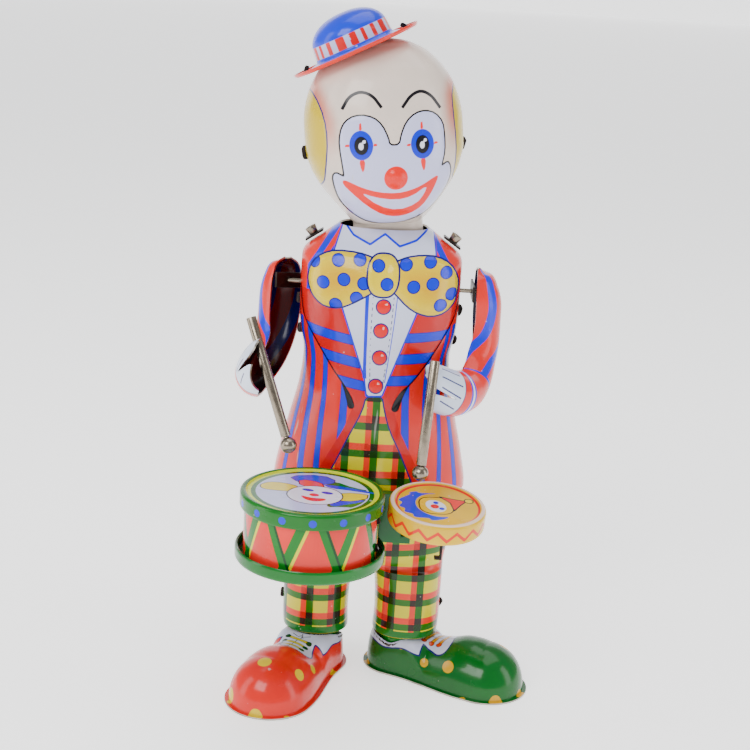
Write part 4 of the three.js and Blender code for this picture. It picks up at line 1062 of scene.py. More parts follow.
# %% The shoe's die
HEEL_RADIUS, TOE_RADIUS, FOOT_SPACING, FLANGE = 10.2, 13.2, 33.0, 1.3
SHOE_TOP = [(-1, 12.6), (3, 12.8), (8, 12.9), (12, 12.3), (16, 12.4), (20, 13.2), (25, 14.8), (29, 15.0),
    (33.2, 14.4)]
FEET = {"left": ((13.4, 0.8), 65.0, (15.1, 0.0)), "right": ((-15.4, -2.0), -23.0, (-15.1, 0.0))}
ROUND_THE_FOOT, UP_THE_FOOT = 230, 62


def foot_outline(u):
    """The outline's point and its spine point for a share of the way round, heel first."""
    side_length = FOOT_SPACING
    heel_length, toe_length = math.pi * HEEL_RADIUS, math.pi * TOE_RADIUS
    total = heel_length + toe_length + 2 * side_length
    s = u * total
    spine = np.zeros_like(s)
    bx, by = np.zeros_like(s), np.zeros_like(s)
    heel = s < heel_length
    a = s / heel_length * math.pi
    bx[heel], by[heel] = (HEEL_RADIUS * np.cos(a))[heel], (-HEEL_RADIUS * np.sin(a))[heel]
    first = (s >= heel_length) & (s < heel_length + side_length)
    w = (s - heel_length) / side_length
    wide = HEEL_RADIUS + (TOE_RADIUS - HEEL_RADIUS) * ramp(w, 0.15, 0.9)
    bx[first], by[first], spine[first] = -wide[first], (w * FOOT_SPACING)[first], (w * FOOT_SPACING)[first]
    toe = (s >= heel_length + side_length) & (s < heel_length + side_length + toe_length)
    a = (s - heel_length - side_length) / toe_length * math.pi
    bx[toe], by[toe] = (-TOE_RADIUS * np.cos(a))[toe], (FOOT_SPACING + TOE_RADIUS * np.sin(a))[toe]
    spine[toe] = FOOT_SPACING
    last = s >= heel_length + side_length + toe_length
    w = 1 - (s - heel_length - side_length - toe_length) / side_length
    wide = HEEL_RADIUS + (TOE_RADIUS - HEEL_RADIUS) * ramp(w, 0.15, 0.9)
    bx[last], by[last], spine[last] = wide[last], (w * FOOT_SPACING)[last], (w * FOOT_SPACING)[last]
    return bx, by, spine


SHOE_EDGE, FLANGE_SHARE = 0.93, 0.07
POCKET_INNER, POCKET_OUTER, POCKET_FLOOR = 8.9, 9.2, 9.0
POCKET_LINE = 9.05
LACE_ROWS = (12.6, 15.4, 18.2)


def shoe_plate(name, heel, heading, ankle):
    turn = np.array(Matrix.Rotation(heading * DEGREE, 2))
    pocket_x, pocket_y = (np.array(ankle) - heel) @ turn / 2
    drawn = {}

    def die(u, v):
        bx, by, spine = foot_outline(u)
        reach = np.minimum(v / SHOE_EDGE, 1.0) ** 0.8
        out_x, out_y = bx, by - spine
        length = np.hypot(out_x, out_y)
        flange = np.maximum(v - SHOE_EDGE, 0) / FLANGE_SHARE * FLANGE / length
        x = out_x * (reach + flange)
        place = spine + out_y * (reach + flange)
        cup = 1 - ramp(place, 7.0, 15.0)
        steep = 2.1 + 9.0 * cup
        top = smooth_column([p for p, _ in SHOE_TOP], [h for _, h in SHOE_TOP],
            np.clip(spine, 0, FOOT_SPACING))
        z = TIN + top * np.maximum(1 - reach**steep, 0) ** 0.46
        away = np.hypot(x - pocket_x, place + pocket_y)
        pocket = 1 - ramp(away, POCKET_INNER, POCKET_OUTER)
        z = z * (1 - pocket) + np.minimum(z, POCKET_FLOOR) * pocket
        drawn["local"] = (x, place, z, away, u, v)
        ground = np.stack([x, -place], axis=1) @ turn.T + heel
        return np.column_stack([ground, z])
    return sheet_of_tin(name, ROUND_THE_FOOT, UP_THE_FOOT, die), drawn["local"]


TONGUE = [(-9.5, 2), (-8.6, 8), (-6.2, 11.5), (-6.4, 15), (-8.4, 18.8), (-7.2, 21.4), (-3, 21.8),
    (0, 21.2), (3, 21.8), (7.2, 21.4), (8.4, 18.8), (6.4, 15), (6.2, 11.5), (8.6, 8), (9.5, 2)]
# Each dot: share round the foot, share out from its middle line, radius.
SHOE_DOTS = {"left": [(0.27, 0.66, 2.1), (0.335, 0.78, 1.5), (0.40, 0.76, 2.1), (0.53, 0.93, 2.3),
    (0.61, 0.95, 2.0), (0.70, 0.42, 2.1), (0.45, 0.98, 1.0), (0.12, 0.95, 1.8), (0.17, 0.95, 1.6),
    (0.82, 0.7, 2.0), (0.90, 0.8, 1.8), (0.04, 0.75, 1.9)],
    "right": [(0.60, 0.16, 2.3), (0.54, 0.92, 2.6), (0.63, 0.93, 2.4), (0.775, 0.66, 2.0),
    (0.84, 0.74, 1.6), (0.95, 0.95, 1.7), (0.70, 0.98, 0.9), (0.44, 0.7, 2.1), (0.36, 0.82, 1.8),
    (0.28, 0.7, 2.0), (0.10, 0.8, 2.0)],}
SHOE_COLOURS = {"left": (colour(6, 98, 42), colour(214, 176, 20), colour(222, 96, 30),
    colour(236, 180, 30), colour(130, 24, 26)), "right": (colour(236, 66, 54), colour(230, 206, 10),
    colour(10, 70, 34), colour(222, 208, 60), colour(10, 60, 28))}
for name, (heel, heading, ankle) in FEET.items():
    plate, (x, place, z, away, u, v) = shoe_plate(f"{name}_shoe_pressing", heel, heading, ankle)
    dots_here = []
    for dot_u, dot_v, dot_radius in SHOE_DOTS[name]:
        at = np.argmin(np.abs(u - dot_u) + np.abs(v - dot_v))
        dots_here.append(dot_radius - np.sqrt((x - x[at]) ** 2 + (place - place[at]) ** 2 + (z - z[at]) ** 2))
    ink(plate, "shoe_dots", np.max(dots_here, axis=0))
    rim = np.minimum(z - 9.8 + 0.5 * np.cos(place * 0.5), 12.5 - place)
    saddle = np.maximum(rim, np.minimum(area(x, place, TONGUE, 2), z - 6.5))
    ink(plate, "saddle", np.minimum(saddle, away - 9.0))
    ink(plate, "pocket", POCKET_LINE - away)
    bars, holes = [], []
    for row in LACE_ROWS:
        bars.append(np.minimum(0.62 - np.abs(place - row - 0.18 * x), 4.0 - np.abs(x)))
        holes += [(-4.3, row - 0.8), (4.3, row + 0.8)]
    ink(plate, "laces", np.max(bars, axis=0))
    ink(plate, "eyelets", spots(x, place, holes, 0.95))
    side_of, far = strokes(x, place, [[(0, 9.6), (0.8, 11), (-0.4, 13), (0, 21)],
        [(-3, 10.0), (-0.5, 11.2), (2.6, 9.8)]])
    ink(plate, "tongue_line", side_of)
    ink(plate, "tongue_line_far", far)
    ground, dots, eyelet, lace, inside = SHOE_COLOURS[name]
    SHOE_PRINT = printed_tin(f"printed {name} shoe", ground,
        [("fill", "shoe_dots", dots, 0), ("fill", "saddle", colour(222, 224, 242), 0),
        ("edge", "saddle", DARK_BLUE, 0.45), ("stroke", "tongue_line", BLACK, 0.28),
        ("fill", "laces", lace, 0), ("edge", "laces", BLACK, 0.22), ("fill", "eyelets", eyelet, 0),
        ("edge", "eyelets", BLACK, 0.15), ("fill", "pocket", inside, 0), ("edge", "pocket", BLACK, 0.4)])
    shoe = into_shell(plate, (*(np.array(heel) + (0, -4)), 3), [SHOE_PRINT, INNER_PAINTED_SHADE, BARE_EDGE],
        weld=0.01)
    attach(shoe, "toy")
    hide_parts(f"{name}_shoe")

# %% [markdown]
# ## The big drum
# Three pressings: a lid with a rolled rim and a picture, a shell rolled from a printed strip, and a
# tray that holds the shell. The pictures on both drums are plain clown heads, drawn here from ovals
# and a few outlines.

# %% Small clown pictures
def turned_picture(px, py, centre, degrees, size=1.0):
    a = degrees * DEGREE
    dx, dy = px - centre[0], py - centre[1]
    return (dx * math.cos(a) + dy * math.sin(a)) / size, (-dx * math.sin(a) + dy * math.cos(a)) / size


drum_low, drum_high = toy_box("drum_head")
tray_low, _ = toy_box("drum_tray")
DRUM_X, DRUM_Y = (drum_low[0] + drum_high[0]) / 2, (drum_low[1] + drum_high[1]) / 2
DRUM_TOP, DRUM_BOTTOM = drum_high[2], tray_low[2]
RIM, SHELL, TRAY = 22.2, 20.7, 23.2
UPRIGHT = Matrix.Identity(3)

# %% The drum's lid
lid_profile = [(0, DRUM_TOP - 0.7), (RIM - 2.9, DRUM_TOP - 0.7),
    *bend(RIM - 2.6, DRUM_TOP + 0.1, 0.75, -90, -30, 4), *bend(RIM - 0.95, DRUM_TOP - 0.95, 0.95, 110, 0,
    8), (RIM, DRUM_TOP - 4.4), (RIM - 0.25, DRUM_TOP - 4.9)]
lid, (radius, angle, height) = round_plate("drum_lid", lid_profile, 250, 62, (DRUM_X, DRUM_Y, 0), UPRIGHT)
px, py = radius * np.cos(angle), radius * np.sin(angle)
ink(lid, "disc", 17.4 - radius)
ink(lid, "lime_ring", np.minimum(radius - 18.9, 20.4 - radius))
turn = (angle + math.pi / 2) * RIM
step = 2 * math.pi * RIM / 15
across = (turn + step * 0.35) % step - step / 2
ink(lid, "rim_dots", np.where(radius > RIM - 0.6, 1.15 - np.hypot(across, height - (DRUM_TOP - 2.7)), -1))
x, y = turned_picture(px, py, (0.4, -1.4), -20.0, 1.3)
disc_inside = (16.9 - radius) / 1.3
ink(lid, "tufts", np.minimum(disc_inside, np.maximum(area(x, y,
    [(-4.5, 2.6), (-8.5, 3.6), (-12.6, 2.6), (-13.8, -0.6), (-12.0, -3.0), (-8.0, -2.2), (-4.5, -1.0)]),
    area(x, y, [(4.5, 2.4), (8.0, 5.4), (13.4, 5.6), (11.4, 1.6), (9.0, -1.0), (5.0, -1.6)], 1))))
ink(lid, "ruff", np.minimum(disc_inside, np.maximum(area(x, y,
    [(5.2, -3.4), (9, 0.4), (14.2, 3.8), (15.4, 1.2), (13, -1.4), (12.6, -4), (9, -5), (6, -7)], 1),
    area(x, y, [(-2, 8.6), (1, 10.6), (7, 8.4), (14.4, 8.8), (14.4, 6.8), (7.6, 6.4), (3, 5.6)], 1))))
ink(lid, "ruff_blue", np.maximum(
    area(x, y, [(5.2, -3.4), (8.2, -0.6), (12.6, 2.2), (11.4, -0.6), (9.6, -2.6), (7, -6)], 1),
    area(x, y, [(-1, 7.0), (4, 8.0), (12.4, 7.8), (12.4, 6.9), (6, 6.2), (2, 5.4)], 1)))
ink(lid, "cap", np.minimum(disc_inside, area(x, y, [(-10.4, 8.6), (-3.6, 13.4), (2.2, 10.6), (-1.2, 5.6),
    (-6.4, 5.4)], 1)))
ink(lid, "cap_band", area(x, y, [(-7.4, 7.8), (-1.6, 8.4), (1.0, 4.6), (-5.0, 3.2)], 1))
ink(lid, "small_face", oval(x, y, 0.6, -0.8, 6.6, 6.2))
ink(lid, "small_eyes", np.maximum(oval(x, y, -2.2, 1.7, 1.5, 0.85), oval(x, y, 2.6, 2.0, 1.5, 0.85)))
ink(lid, "small_nose", oval(x, y, 0.4, -0.7, 1.2, 1.0))
ink(lid, "small_mouth", area(x, y, [(-2.8, -2.2), (0.6, -2.9), (3.6, -1.6), (4.4, -2.8), (2.6, -4.8),
    (-0.2, -4.8)], 2))
LID_PRINT = printed_tin("printed drum lid", GREEN, [("fill", "disc", colour(212, 216, 246), 0),
    ("fill", "lime_ring", colour(214, 226, 0), 0), ("fill", "rim_dots", BLUE, 0),
    ("fill", "ruff", colour(10, 112, 50), 0), ("fill", "ruff_blue", BLUE, 0),
    ("fill", "tufts", colour(238, 222, 10), 0), ("edge", "tufts", BLACK, 0.26),
    ("fill", "cap", colour(60, 100, 230), 0), ("edge", "cap", DARK_BLUE, 0.26),
    ("fill", "cap_band", colour(244, 104, 96), 0), ("edge", "cap_band", BLACK, 0.24),
    ("fill", "small_face", colour(240, 240, 250), 0), ("edge", "small_face", BLACK, 0.3),
    ("fill", "small_eyes", colour(20, 40, 190), 0), ("fill", "small_nose", colour(236, 50, 50), 0),
    ("fill", "small_mouth", colour(236, 50, 50), 0)], fade=0.05)
lid = into_shell(lid, (DRUM_X, DRUM_Y, DRUM_TOP - 12), [LID_PRINT, INNER_PAINTED_SHADE, BARE_EDGE])
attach(lid, "toy")
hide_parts("drum_head")

# %% The drum's shell and tray
shell_profile = [(SHELL, DRUM_BOTTOM + 1.2), (SHELL, DRUM_TOP - 1.9)]
wall, (radius, angle, height) = round_plate("drum_wall", shell_profile, 250, 38, (DRUM_X, DRUM_Y, 0), UPRIGHT)
share = (height - (DRUM_BOTTOM + 4.2)) / (DRUM_TOP - 4.8 - DRUM_BOTTOM - 4.2)
pitch = 2 * math.pi * SHELL / 8
around = (angle + math.pi / 2) * SHELL + pitch * 0.42
SLANT, BAND = 5.0, 1.55
lean = SLANT * share
falling = (around + lean + pitch / 2) % pitch - pitch / 2
rising = (around - lean + pitch / 2) % pitch - pitch / 2
ink(wall, "bands", BAND - np.minimum(np.abs(falling), np.abs(rising)))
ink(wall, "band_shadow", 0.4 - np.abs(falling - BAND * 0.7))
ink(wall, "band_yellow", 0.55 - np.abs(rising - BAND - 0.45))
strokes_in = np.abs(((around + pitch / 2) % 1.3) - 0.65) - 0.48
ink(wall, "faint_strokes", np.minimum(np.minimum(strokes_in, 2.4 - np.abs(around % pitch - pitch / 2)),
                                     np.minimum(0.75 - share, share - 0.35)))
WALL_PRINT = printed_tin("printed drum wall", colour(244, 84, 72), [
    ("over", "faint_strokes", (0.95, 0.55, 0.6), 0.7), ("fill", "band_yellow", colour(226, 220, 20), 0),
    ("fill", "bands", colour(10, 118, 44), 0), ("fill", "band_shadow", colour(6, 60, 30), 0)])
wall = into_shell(wall, (DRUM_X, DRUM_Y, 66), [WALL_PRINT, INNER_PAINTED_SHADE, BARE_EDGE])
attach(wall, "toy")
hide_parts("drum_shell")

tray_profile = [(0, DRUM_BOTTOM), (TRAY - 1.3, DRUM_BOTTOM),
    *bend(TRAY - 1.2, DRUM_BOTTOM + 1.2, 1.2, -90, 0, 6), (TRAY, DRUM_BOTTOM + 3.6),
    *bend(TRAY - 0.45, DRUM_BOTTOM + 3.9, 0.45, 0, 150, 6)]
tray, (radius, angle, height) = round_plate("drum_tray_pressing", tray_profile, 200, 46,
    (DRUM_X, DRUM_Y, 0), UPRIGHT)
ink(tray, "worn_rim", height - (DRUM_BOTTOM + 4.1))
TRAY_PRINT = printed_tin("green tray", colour(14, 116, 50), [("over", "worn_rim", (0.5, 0.5, 0.5), 0.5)],
    fade=0.25)
tray = into_shell(tray, (DRUM_X, DRUM_Y, DRUM_BOTTOM + 10), [TRAY_PRINT, TRAY_PRINT, BARE_EDGE])
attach(tray, "toy")
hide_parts("drum_tray")

# %% The small drum
SMALL = (21.9, -40.0, 74.3)
SMALL_RADIUS, SMALL_HEIGHT = 15.2, 6.5
SMALL_TILT = Matrix.Rotation(8 * DEGREE, 3, "X") @ Matrix.Rotation(3 * DEGREE, 3, "Y")
small_profile = [(0, -0.75), (11.9, -0.75), *bend(12.6, 0.1, 0.85, -90, -20, 5),
    *bend(14.0, -1.2, 1.2, 120, 0, 9), (SMALL_RADIUS, -SMALL_HEIGHT + 0.6),
    (SMALL_RADIUS - 0.3, -SMALL_HEIGHT)]
small, (radius, angle, height) = round_plate("small_drum_pressing", small_profile, 190, 52, SMALL, SMALL_TILT)
px, py = radius * np.cos(angle), radius * np.sin(angle)
ink(small, "red_ring", 0.35 - np.abs(radius - 12.9))
ink(small, "white_ring", np.where(height > -1.6, 0.55 - np.abs(radius - 14.2), -1))
tooth = 2 * math.pi * SMALL_RADIUS / 16
around = (angle + math.pi / 2) * SMALL_RADIUS
saw = np.abs(((around / tooth) % 1.0) * 2 - 1) * 2.6 - 1.3
ink(small, "zigzag", np.where(radius > SMALL_RADIUS - 0.4, 0.62 - np.abs(height + 3.7 - saw), -1))
x, y = turned_picture(px, py, (-0.6, -0.2), -62.0, 1.12)
wavy = 0.5 * np.sin(x * 1.9)
ink(small, "jester_hair", np.minimum(oval(x, y, -0.6, -2.6, 7.8, 7.2) + wavy,
    -oval(x, y, 0.2, 0.6, 6.6, 6.2)))
ink(small, "jester_face", oval(x, y, 0.2, 0.0, 5.0, 5.0) + 0.25 * np.sin(4 * np.arctan2(y, x)))
ink(small, "jester_patch", oval(x, y, 0.4, -0.2, 3.4, 2.7))
ink(small, "jester_eyes", spots(x, y, [(-1.3, 0.7), (2.2, 0.7)], 0.8))
ink(small, "jester_nose", spots(x, y, [(0.5, -0.6)], 1.2))
ink(small, "jester_cap", area(x, y, [(-4.2, 3.4), (0, 4.6), (4.4, 3.4), (2.0, 6.8), (0.4, 9.6),
    (-1.4, 7.0)], 0))
ink(small, "jester_pompom", spots(x, y, [(0.5, 10.3)], 1.25))
SMALL_PRINT = printed_tin("printed small drum", colour(238, 204, 12),
    [("fill", "red_ring", colour(226, 56, 30), 0), ("fill", "white_ring", colour(240, 220, 206), 0),
    ("fill", "zigzag", colour(232, 74, 34), 0), ("fill", "jester_hair", colour(30, 92, 226), 0),
    ("fill", "jester_face", colour(242, 210, 16), 0), ("edge", "jester_face", BLACK, 0.36),
    ("fill", "jester_patch", WHITE, 0), ("fill", "jester_eyes", BLUE, 0),
    ("fill", "jester_nose", colour(232, 44, 40), 0), ("fill", "jester_cap", colour(240, 70, 40), 0),
    ("edge", "jester_cap", BLACK, 0.36), ("fill", "jester_pompom", YELLOW, 0),
    ("edge", "jester_pompom", BLACK, 0.36)], fade=0.08)
small = into_shell(small, (SMALL[0], SMALL[1], SMALL[2] - 10), [SMALL_PRINT, INNER_PAINTED_SHADE, BARE_EDGE])
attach(small, "toy")
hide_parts("small_drum")

# %% [markdown]
# ## Sticks, beads and rivets
# The sticks are rolled from sheet nickel, so each has a seam down its length and an open top. A
# cylinder is added along the stick, its top is inset and pushed in, and one thin row of faces down
# the side is pushed in for the seam. The bead at the tip is a sphere with a collar where it is pinned.

# %% Helpers for turned metal pieces
def select_faces(obj, chosen):
    """Selects in edit mode the faces whose centre, in metres, and normal pass the test."""
    bpy.ops.object.mode_set(mode="EDIT")
    bpy.ops.mesh.select_mode(type="FACE")
    bpy.ops.mesh.select_all(action="DESELECT")
    bpy.ops.object.mode_set(mode="OBJECT")
    for face in obj.data.polygons:
        face.select = bool(chosen(face.center, face.normal))
    bpy.ops.object.mode_set(mode="EDIT")


def add_cylinder(sides, radius, depth, location, rotation=(0, 0, 0)):
    """Adds a cylinder whose sizes and place are in millimetres."""
    bpy.ops.object.select_all(action="DESELECT")
    place = tuple(v * MM for v in location)
    bpy.ops.mesh.primitive_cylinder_add(
        vertices=sides, radius=radius * MM, depth=depth * MM, location=place, rotation=rotation)
    return bpy.context.object


def settle(obj, name, material, body, nodes=(), angle=35):
    """Leaves a finished piece at the origin with its place in its mesh, and says what it is."""
    bpy.ops.object.mode_set(mode="OBJECT")
    select_only(obj)
    bpy.ops.object.transform_apply(location=True, rotation=True, scale=True)
    bpy.ops.object.shade_smooth_by_angle(angle=angle * DEGREE)
    obj.name = name
    obj.data.materials.clear()
    obj.data.materials.append(material)
    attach(obj, body)
    if nodes:
        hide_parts(*nodes)
    return obj


def place_along(obj, start, end):
    """Stands a piece that was modelled along z from the origin on the line from start to end."""
    select_only(obj)
    bpy.ops.object.transform_apply(location=True, rotation=True, scale=True)
    a, b = Vector(metres(start)), Vector(metres(end))
    obj.rotation_mode = "QUATERNION"
    obj.rotation_quaternion = (b - a).to_track_quat("Z", "Y")
    obj.location = a


def bevel_edges(obj, width, segments=2, angle=30):
    modifier = obj.modifiers.new("edges", "BEVEL")
    modifier.width = width * MM
    modifier.segments = segments
    modifier.limit_method = "ANGLE"
    modifier.angle_limit = angle * DEGREE
    select_only(obj)
    bpy.ops.object.modifier_apply(modifier=modifier.name)


STICKS = {"left": ((18.0, -35.2, 118.3), (15.6, -42.5, 84.6)),
    "right": ((-38.7, -33.6, 128.0), (-24.9, -44.6, 91.6))}
STICK_RADIUS, BEAD_RADIUS = 1.55, 2.5
STICK_SIDES, STICK_SHARE = 48, 0.93
SEAM_FROM, SEAM_TURN = 0.9, 2 * math.pi / STICK_SIDES


def on_the_seam(centre, normal):
    """The one row of side faces that is pushed in for the stick's seam."""
    turned = math.atan2(-normal.y, normal.x)
    upright = abs(normal.z) < 0.1
    outside = math.hypot(centre.x, centre.y) > 1.4 * MM
    return upright and SEAM_FROM < turned < SEAM_FROM + SEAM_TURN and outside


for name, (top, tip) in STICKS.items():
    length = float(np.linalg.norm(np.subtract(tip, top))) * STICK_SHARE
    stick = add_cylinder(STICK_SIDES, STICK_RADIUS, length, (0, 0, length / 2))
    select_faces(stick, lambda c, n: n.z < -0.9)
    bpy.ops.mesh.inset(thickness=0.45 * MM, depth=0)
    bpy.ops.mesh.extrude_region_move(TRANSFORM_OT_translate={"value": (0, 0, 5 * MM)})
    bpy.ops.object.mode_set(mode="OBJECT")
    select_faces(stick, on_the_seam)
    bpy.ops.mesh.inset(thickness=0.03 * MM, depth=-0.18 * MM)
    bpy.ops.object.mode_set(mode="OBJECT")
    bevel_edges(stick, 0.1, 2, 40)
    place_along(stick, top, tip)
    settle(stick, f"{name}_stick", NICKEL, f"{name}_arm", [f"{name}_drumstick"])

    bpy.ops.object.select_all(action="DESELECT")
    bpy.ops.mesh.primitive_uv_sphere_add(segments=48, ring_count=28, radius=BEAD_RADIUS * MM)
    bead = bpy.context.object
    select_faces(bead, lambda c, n: c.z < -2.3 * MM)
    bpy.ops.transform.resize(value=(1, 1, 0.0), center_override=(0, 0, -2.32 * MM))
    bpy.ops.mesh.inset(thickness=0.25 * MM, depth=0)
    bpy.ops.mesh.extrude_region_move(TRANSFORM_OT_translate={"value": (0, 0, -0.9 * MM)})
    bpy.ops.object.mode_set(mode="OBJECT")
    bevel_edges(bead, 0.12, 2, 40)
    place_along(bead, tip, np.subtract(tip, np.subtract(top, tip)))
    settle(bead, f"{name}_bead", NICKEL, f"{name}_arm", [f"{name}_stick_bead"])

# %% [markdown]
# The shoulder rivets hold the body's shells to the motor. Each is a short tube on a square black
# washer, and its head is spread and dished where the tube was clenched.

# %% Shoulder rivets and washers
SHOULDER_X, SHOULDER_Z, SHOULDER_SLOPE = 21.6, 148.2, 34.0
RIVET_RADIUS, RIVET_HEIGHT, RIVET_MIDDLE, RIVET_SPREAD = 1.55, 2.4, 2.8, 1.25
WASHER_SIZE, WASHER_MIDDLE = (6.6, 4.8, 0.6), 1.1
for name, side in (("left", 1), ("right", -1)):
    tilt = Matrix.Rotation(side * SHOULDER_SLOPE * DEGREE, 4, "Y")
    seat = Vector(metres((side * SHOULDER_X, 0, SHOULDER_Z)))
    rivet = add_cylinder(40, RIVET_RADIUS, RIVET_HEIGHT, (0, 0, RIVET_MIDDLE))
    select_faces(rivet, lambda c, n: n.z > 0.9)
    bpy.ops.transform.resize(value=(RIVET_SPREAD, RIVET_SPREAD, 1), center_override=(0, 0, 4.0 * MM))
    bpy.ops.mesh.inset(thickness=0.6 * MM, depth=0)
    bpy.ops.mesh.inset(thickness=0.35 * MM, depth=-0.7 * MM)
    bpy.ops.object.mode_set(mode="OBJECT")
    bevel_edges(rivet, 0.22, 3, 35)
    rivet.rotation_euler = tilt.to_euler()
    rivet.location = seat + tilt.to_3x3() @ Vector(rivet.location)
    settle(rivet, f"{name}_rivet", NICKEL, "toy", [f"{name}_shoulder_rivet"])

    bpy.ops.object.select_all(action="DESELECT")
    bpy.ops.mesh.primitive_cube_add(size=1, location=(0, 0, WASHER_MIDDLE * MM))
    washer = bpy.context.object
    washer.scale = [v * MM for v in WASHER_SIZE]
    select_only(washer)
    bpy.ops.object.transform_apply(location=True, rotation=True, scale=True)
    select_faces(washer, lambda c, n: n.z > 0.9)
    bpy.ops.mesh.inset(thickness=0.5 * MM, depth=0.12 * MM)
    bpy.ops.object.mode_set(mode="OBJECT")
    bevel_edges(washer, 0.18, 2, 30)
    washer.rotation_euler = tilt.to_euler()
    washer.location = seat
    settle(washer, f"{name}_washer", BLACK_STEEL, "toy", [f"{name}_shoulder_washer"])

# %% [markdown]
# The shells are joined by tabs that pass through slots and are twisted. A tab is a small strip cut
# from a cube; its outer end is turned a quarter round, as pliers leave it.

# %% Twisted tabs
def twisted_tab(name, place, outward, length, body, wide=1.7, reach=1.1):
    """A strip that stands out from the seam at a place, along outward, with its end twisted."""
    bpy.ops.object.select_all(action="DESELECT")
    bpy.ops.mesh.primitive_cube_add(size=1)
    tab = bpy.context.object
    tab.scale = (length * MM, 0.6 * MM, 0.8 * MM)
    select_only(tab)
    bpy.ops.object.transform_apply(location=True, rotation=True, scale=True)
    for step in range(3):
        select_faces(tab, lambda c, n: n.z > 0.7 and c.z > (0.3 + step * reach * 0.3) * MM)
        bpy.ops.mesh.extrude_region_move(TRANSFORM_OT_translate={"value": (0, 0, reach / 3 * MM)})
        bpy.ops.transform.rotate(value=-18 * DEGREE, orient_axis="Z", center_override=(0, 0, 0))
    bpy.ops.transform.resize(value=(wide / length + 0.25, 1, 1), center_override=(0, 0, 0))
    bpy.ops.object.mode_set(mode="OBJECT")
    bevel_edges(tab, 0.12, 2, 30)
    tab.rotation_mode = "QUATERNION"
    tab.rotation_quaternion = Vector(outward).to_track_quat("Z", "X")
    tab.location = metres(place)
    return settle(tab, name, BLACK_STEEL, body)


LEG_REACH = 26.7
DRUM_TAB_ANGLE = 0.25
# Each seam tab: side, height, length.
SEAM_TABS = [
    (-1, 118, 3.4), (1, 117, 3.4), (1, 127, 4.0), (-1, 128, 3.6), (-1, 60, 3), (1, 60, 3), (-1, 24, 3.4),
    (1, 24, 3.4)]
for number, (side, height, length) in enumerate(SEAM_TABS):
    if height > 40:
        reach_x = float(smooth_table(TORSO, np.array([height]))[0][0])
    else:
        reach_x = LEG_REACH
    twisted_tab(f"seam_tab_{number}", (side * (reach_x - 0.2), 0, height), (side, 0, 0), length, "toy")
for side in (-1, 1):
    ear = np.array([side * 24.7, 0, 28.3]) @ head_turn.T + HEAD_PIVOT
    twisted_tab(f"ear_tab_{side + 1}", ear, head_turn @ np.array([side, 0, 0]), 4.4, "head")
    slot_place = np.array(HAT_TILT) @ np.array([side * 16.6, 0, 1.7]) + np.array(HAT_CENTRE)
    twisted_tab(f"hat_tab_{side + 1}", slot_place, np.array(HAT_TILT) @ np.array([side * 0.8, 0, 0.6]),
        3.0, "head", reach=0.6)
tab_way = (math.cos(DRUM_TAB_ANGLE), -math.sin(DRUM_TAB_ANGLE), 0)
for height in (DRUM_TOP - 6.6, DRUM_BOTTOM + 6.4):
    spot = (DRUM_X + SHELL * math.cos(DRUM_TAB_ANGLE), DRUM_Y - SHELL * math.sin(DRUM_TAB_ANGLE), height)
    twisted_tab(f"drum_tab_{int(height)}", spot, tab_way, 2.6, "toy", reach=0.6)
print(len(SEAM_TABS), "seam tabs")

# %% [markdown]
# ## The key
# The key's wings are one stamped plate, pinched and soldered into a tube that squares onto the
# arbor. A disc is added for each wing, its middle is inset and cut through, and Bevel rounds the rim.

# %% The key
key_low, key_high = toy_box("key")
KEY_WING_RADIUS, KEY_WING_THICK, KEY_WING_OUT, KEY_WING_RIM = 7.0, 1.5, 6.6, 2.6
KEY_STEM_RADIUS, KEY_STEM_LENGTH, KEY_STEM_MIDDLE = 2.5, 13.0, 9.2
KEY_WING_BACK = 7.2
pieces_of_key = []
wing_y = key_high[1] - KEY_WING_BACK
for side in (-1, 1):
    wing = add_cylinder(56, KEY_WING_RADIUS, KEY_WING_THICK, (side * KEY_WING_OUT, 0, 0))
    select_faces(wing, lambda c, n: abs(n.z) > 0.9)
    bpy.ops.mesh.inset(thickness=KEY_WING_RIM * MM, depth=0)
    bpy.ops.mesh.bridge_edge_loops()
    bpy.ops.object.mode_set(mode="OBJECT")
    pieces_of_key.append(wing)
stem = add_cylinder(48, KEY_STEM_RADIUS, KEY_STEM_LENGTH, (0, KEY_STEM_MIDDLE, 0), (math.pi / 2, 0, 0))
select_only(stem)
bpy.ops.object.transform_apply(location=True, rotation=True, scale=True)
select_faces(stem, lambda c, n: n.y > 0.9)
bpy.ops.mesh.inset(thickness=0.8 * MM, depth=0)
bpy.ops.mesh.extrude_region_move(TRANSFORM_OT_translate={"value": (0, -3 * MM, 0)})
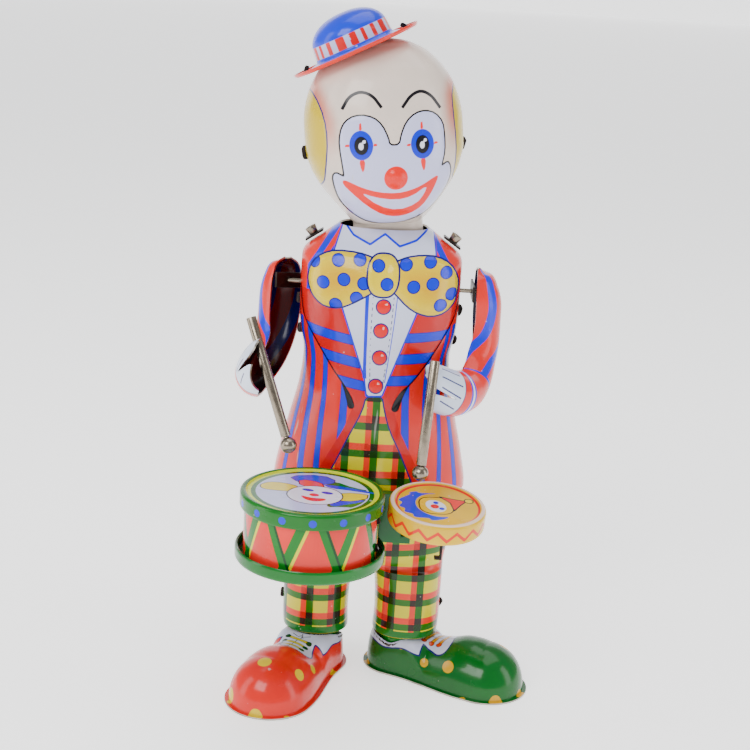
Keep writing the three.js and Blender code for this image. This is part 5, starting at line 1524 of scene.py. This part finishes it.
bpy.ops.object.mode_set(mode="OBJECT")
pieces_of_key.append(stem)
select_only(*pieces_of_key)
bpy.ops.object.join()
key = bpy.context.object
select_only(key)
bpy.ops.object.transform_apply(location=True, rotation=True, scale=True)
bevel_edges(key, 0.35, 3, 40)
key.rotation_euler = (0, 0, math.pi)
key.location = metres((0, wing_y, KEY_HEIGHT))
settle(key, "winding_key", NICKEL, "winding", ["key"])
print("key spans", [round(v, 1) for v in (key_high - key_low)])

# %% [markdown]
# ## Metal that keeps its own shape
# The brackets, wires, plates, arbors and wheels are already the right shape, so they only get their
# finish, and the brackets, hook, plates, lever and bush get finer edges as well: their corners are welded and
# bevelled by modifiers, and nothing is moved.

# %% Finishes for the working parts
GREEN_PRINT = printed_tin("green bracket", colour(14, 104, 56), [], fade=0.3)
FINISH = {"instrument_bracket": GREEN_PRINT, "small_drum_hook": BLACK_STEEL,
    "left_arm_bracket": BLACK_STEEL, "right_arm_bracket": BLACK_STEEL, "left_arm_axle": NICKEL,
    "right_arm_axle": NICKEL, "rocker_pin": NICKEL, "head_pivot_pin": NICKEL, "mainspring": SPRING_STEEL,
    "great_wheel": SATIN_BRASS, "second_wheel": SATIN_BRASS, "escape_wheel": SATIN_BRASS,
    "crank_disc": SATIN_BRASS, "key_bush": SATIN_BRASS,}
FINE_EDGES = {"instrument_bracket": 0.3, "small_drum_hook": 0.15, "left_arm_bracket": 0.2,
    "right_arm_bracket": 0.2, "key_bush": 0.25, "motor_front_plate": 0.15, "motor_back_plate": 0.15,
    "head_lever": 0.15}
for name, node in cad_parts.items():
    if node.hide_render:
        continue
    finish = FINISH.get(name, ZINC_STEEL)
    node.data.materials.clear()
    node.data.materials.append(finish)
    if name in FINE_EDGES:
        weld = node.modifiers.new("weld", "WELD")
        weld.merge_threshold = 0.01 * MM
        edges = node.modifiers.new("edges", "BEVEL")
        edges.width = FINE_EDGES[name] * MM
        edges.segments = 2
        edges.limit_method = "ANGLE"
        edges.angle_limit = 30 * DEGREE
print("every working part has its finish")
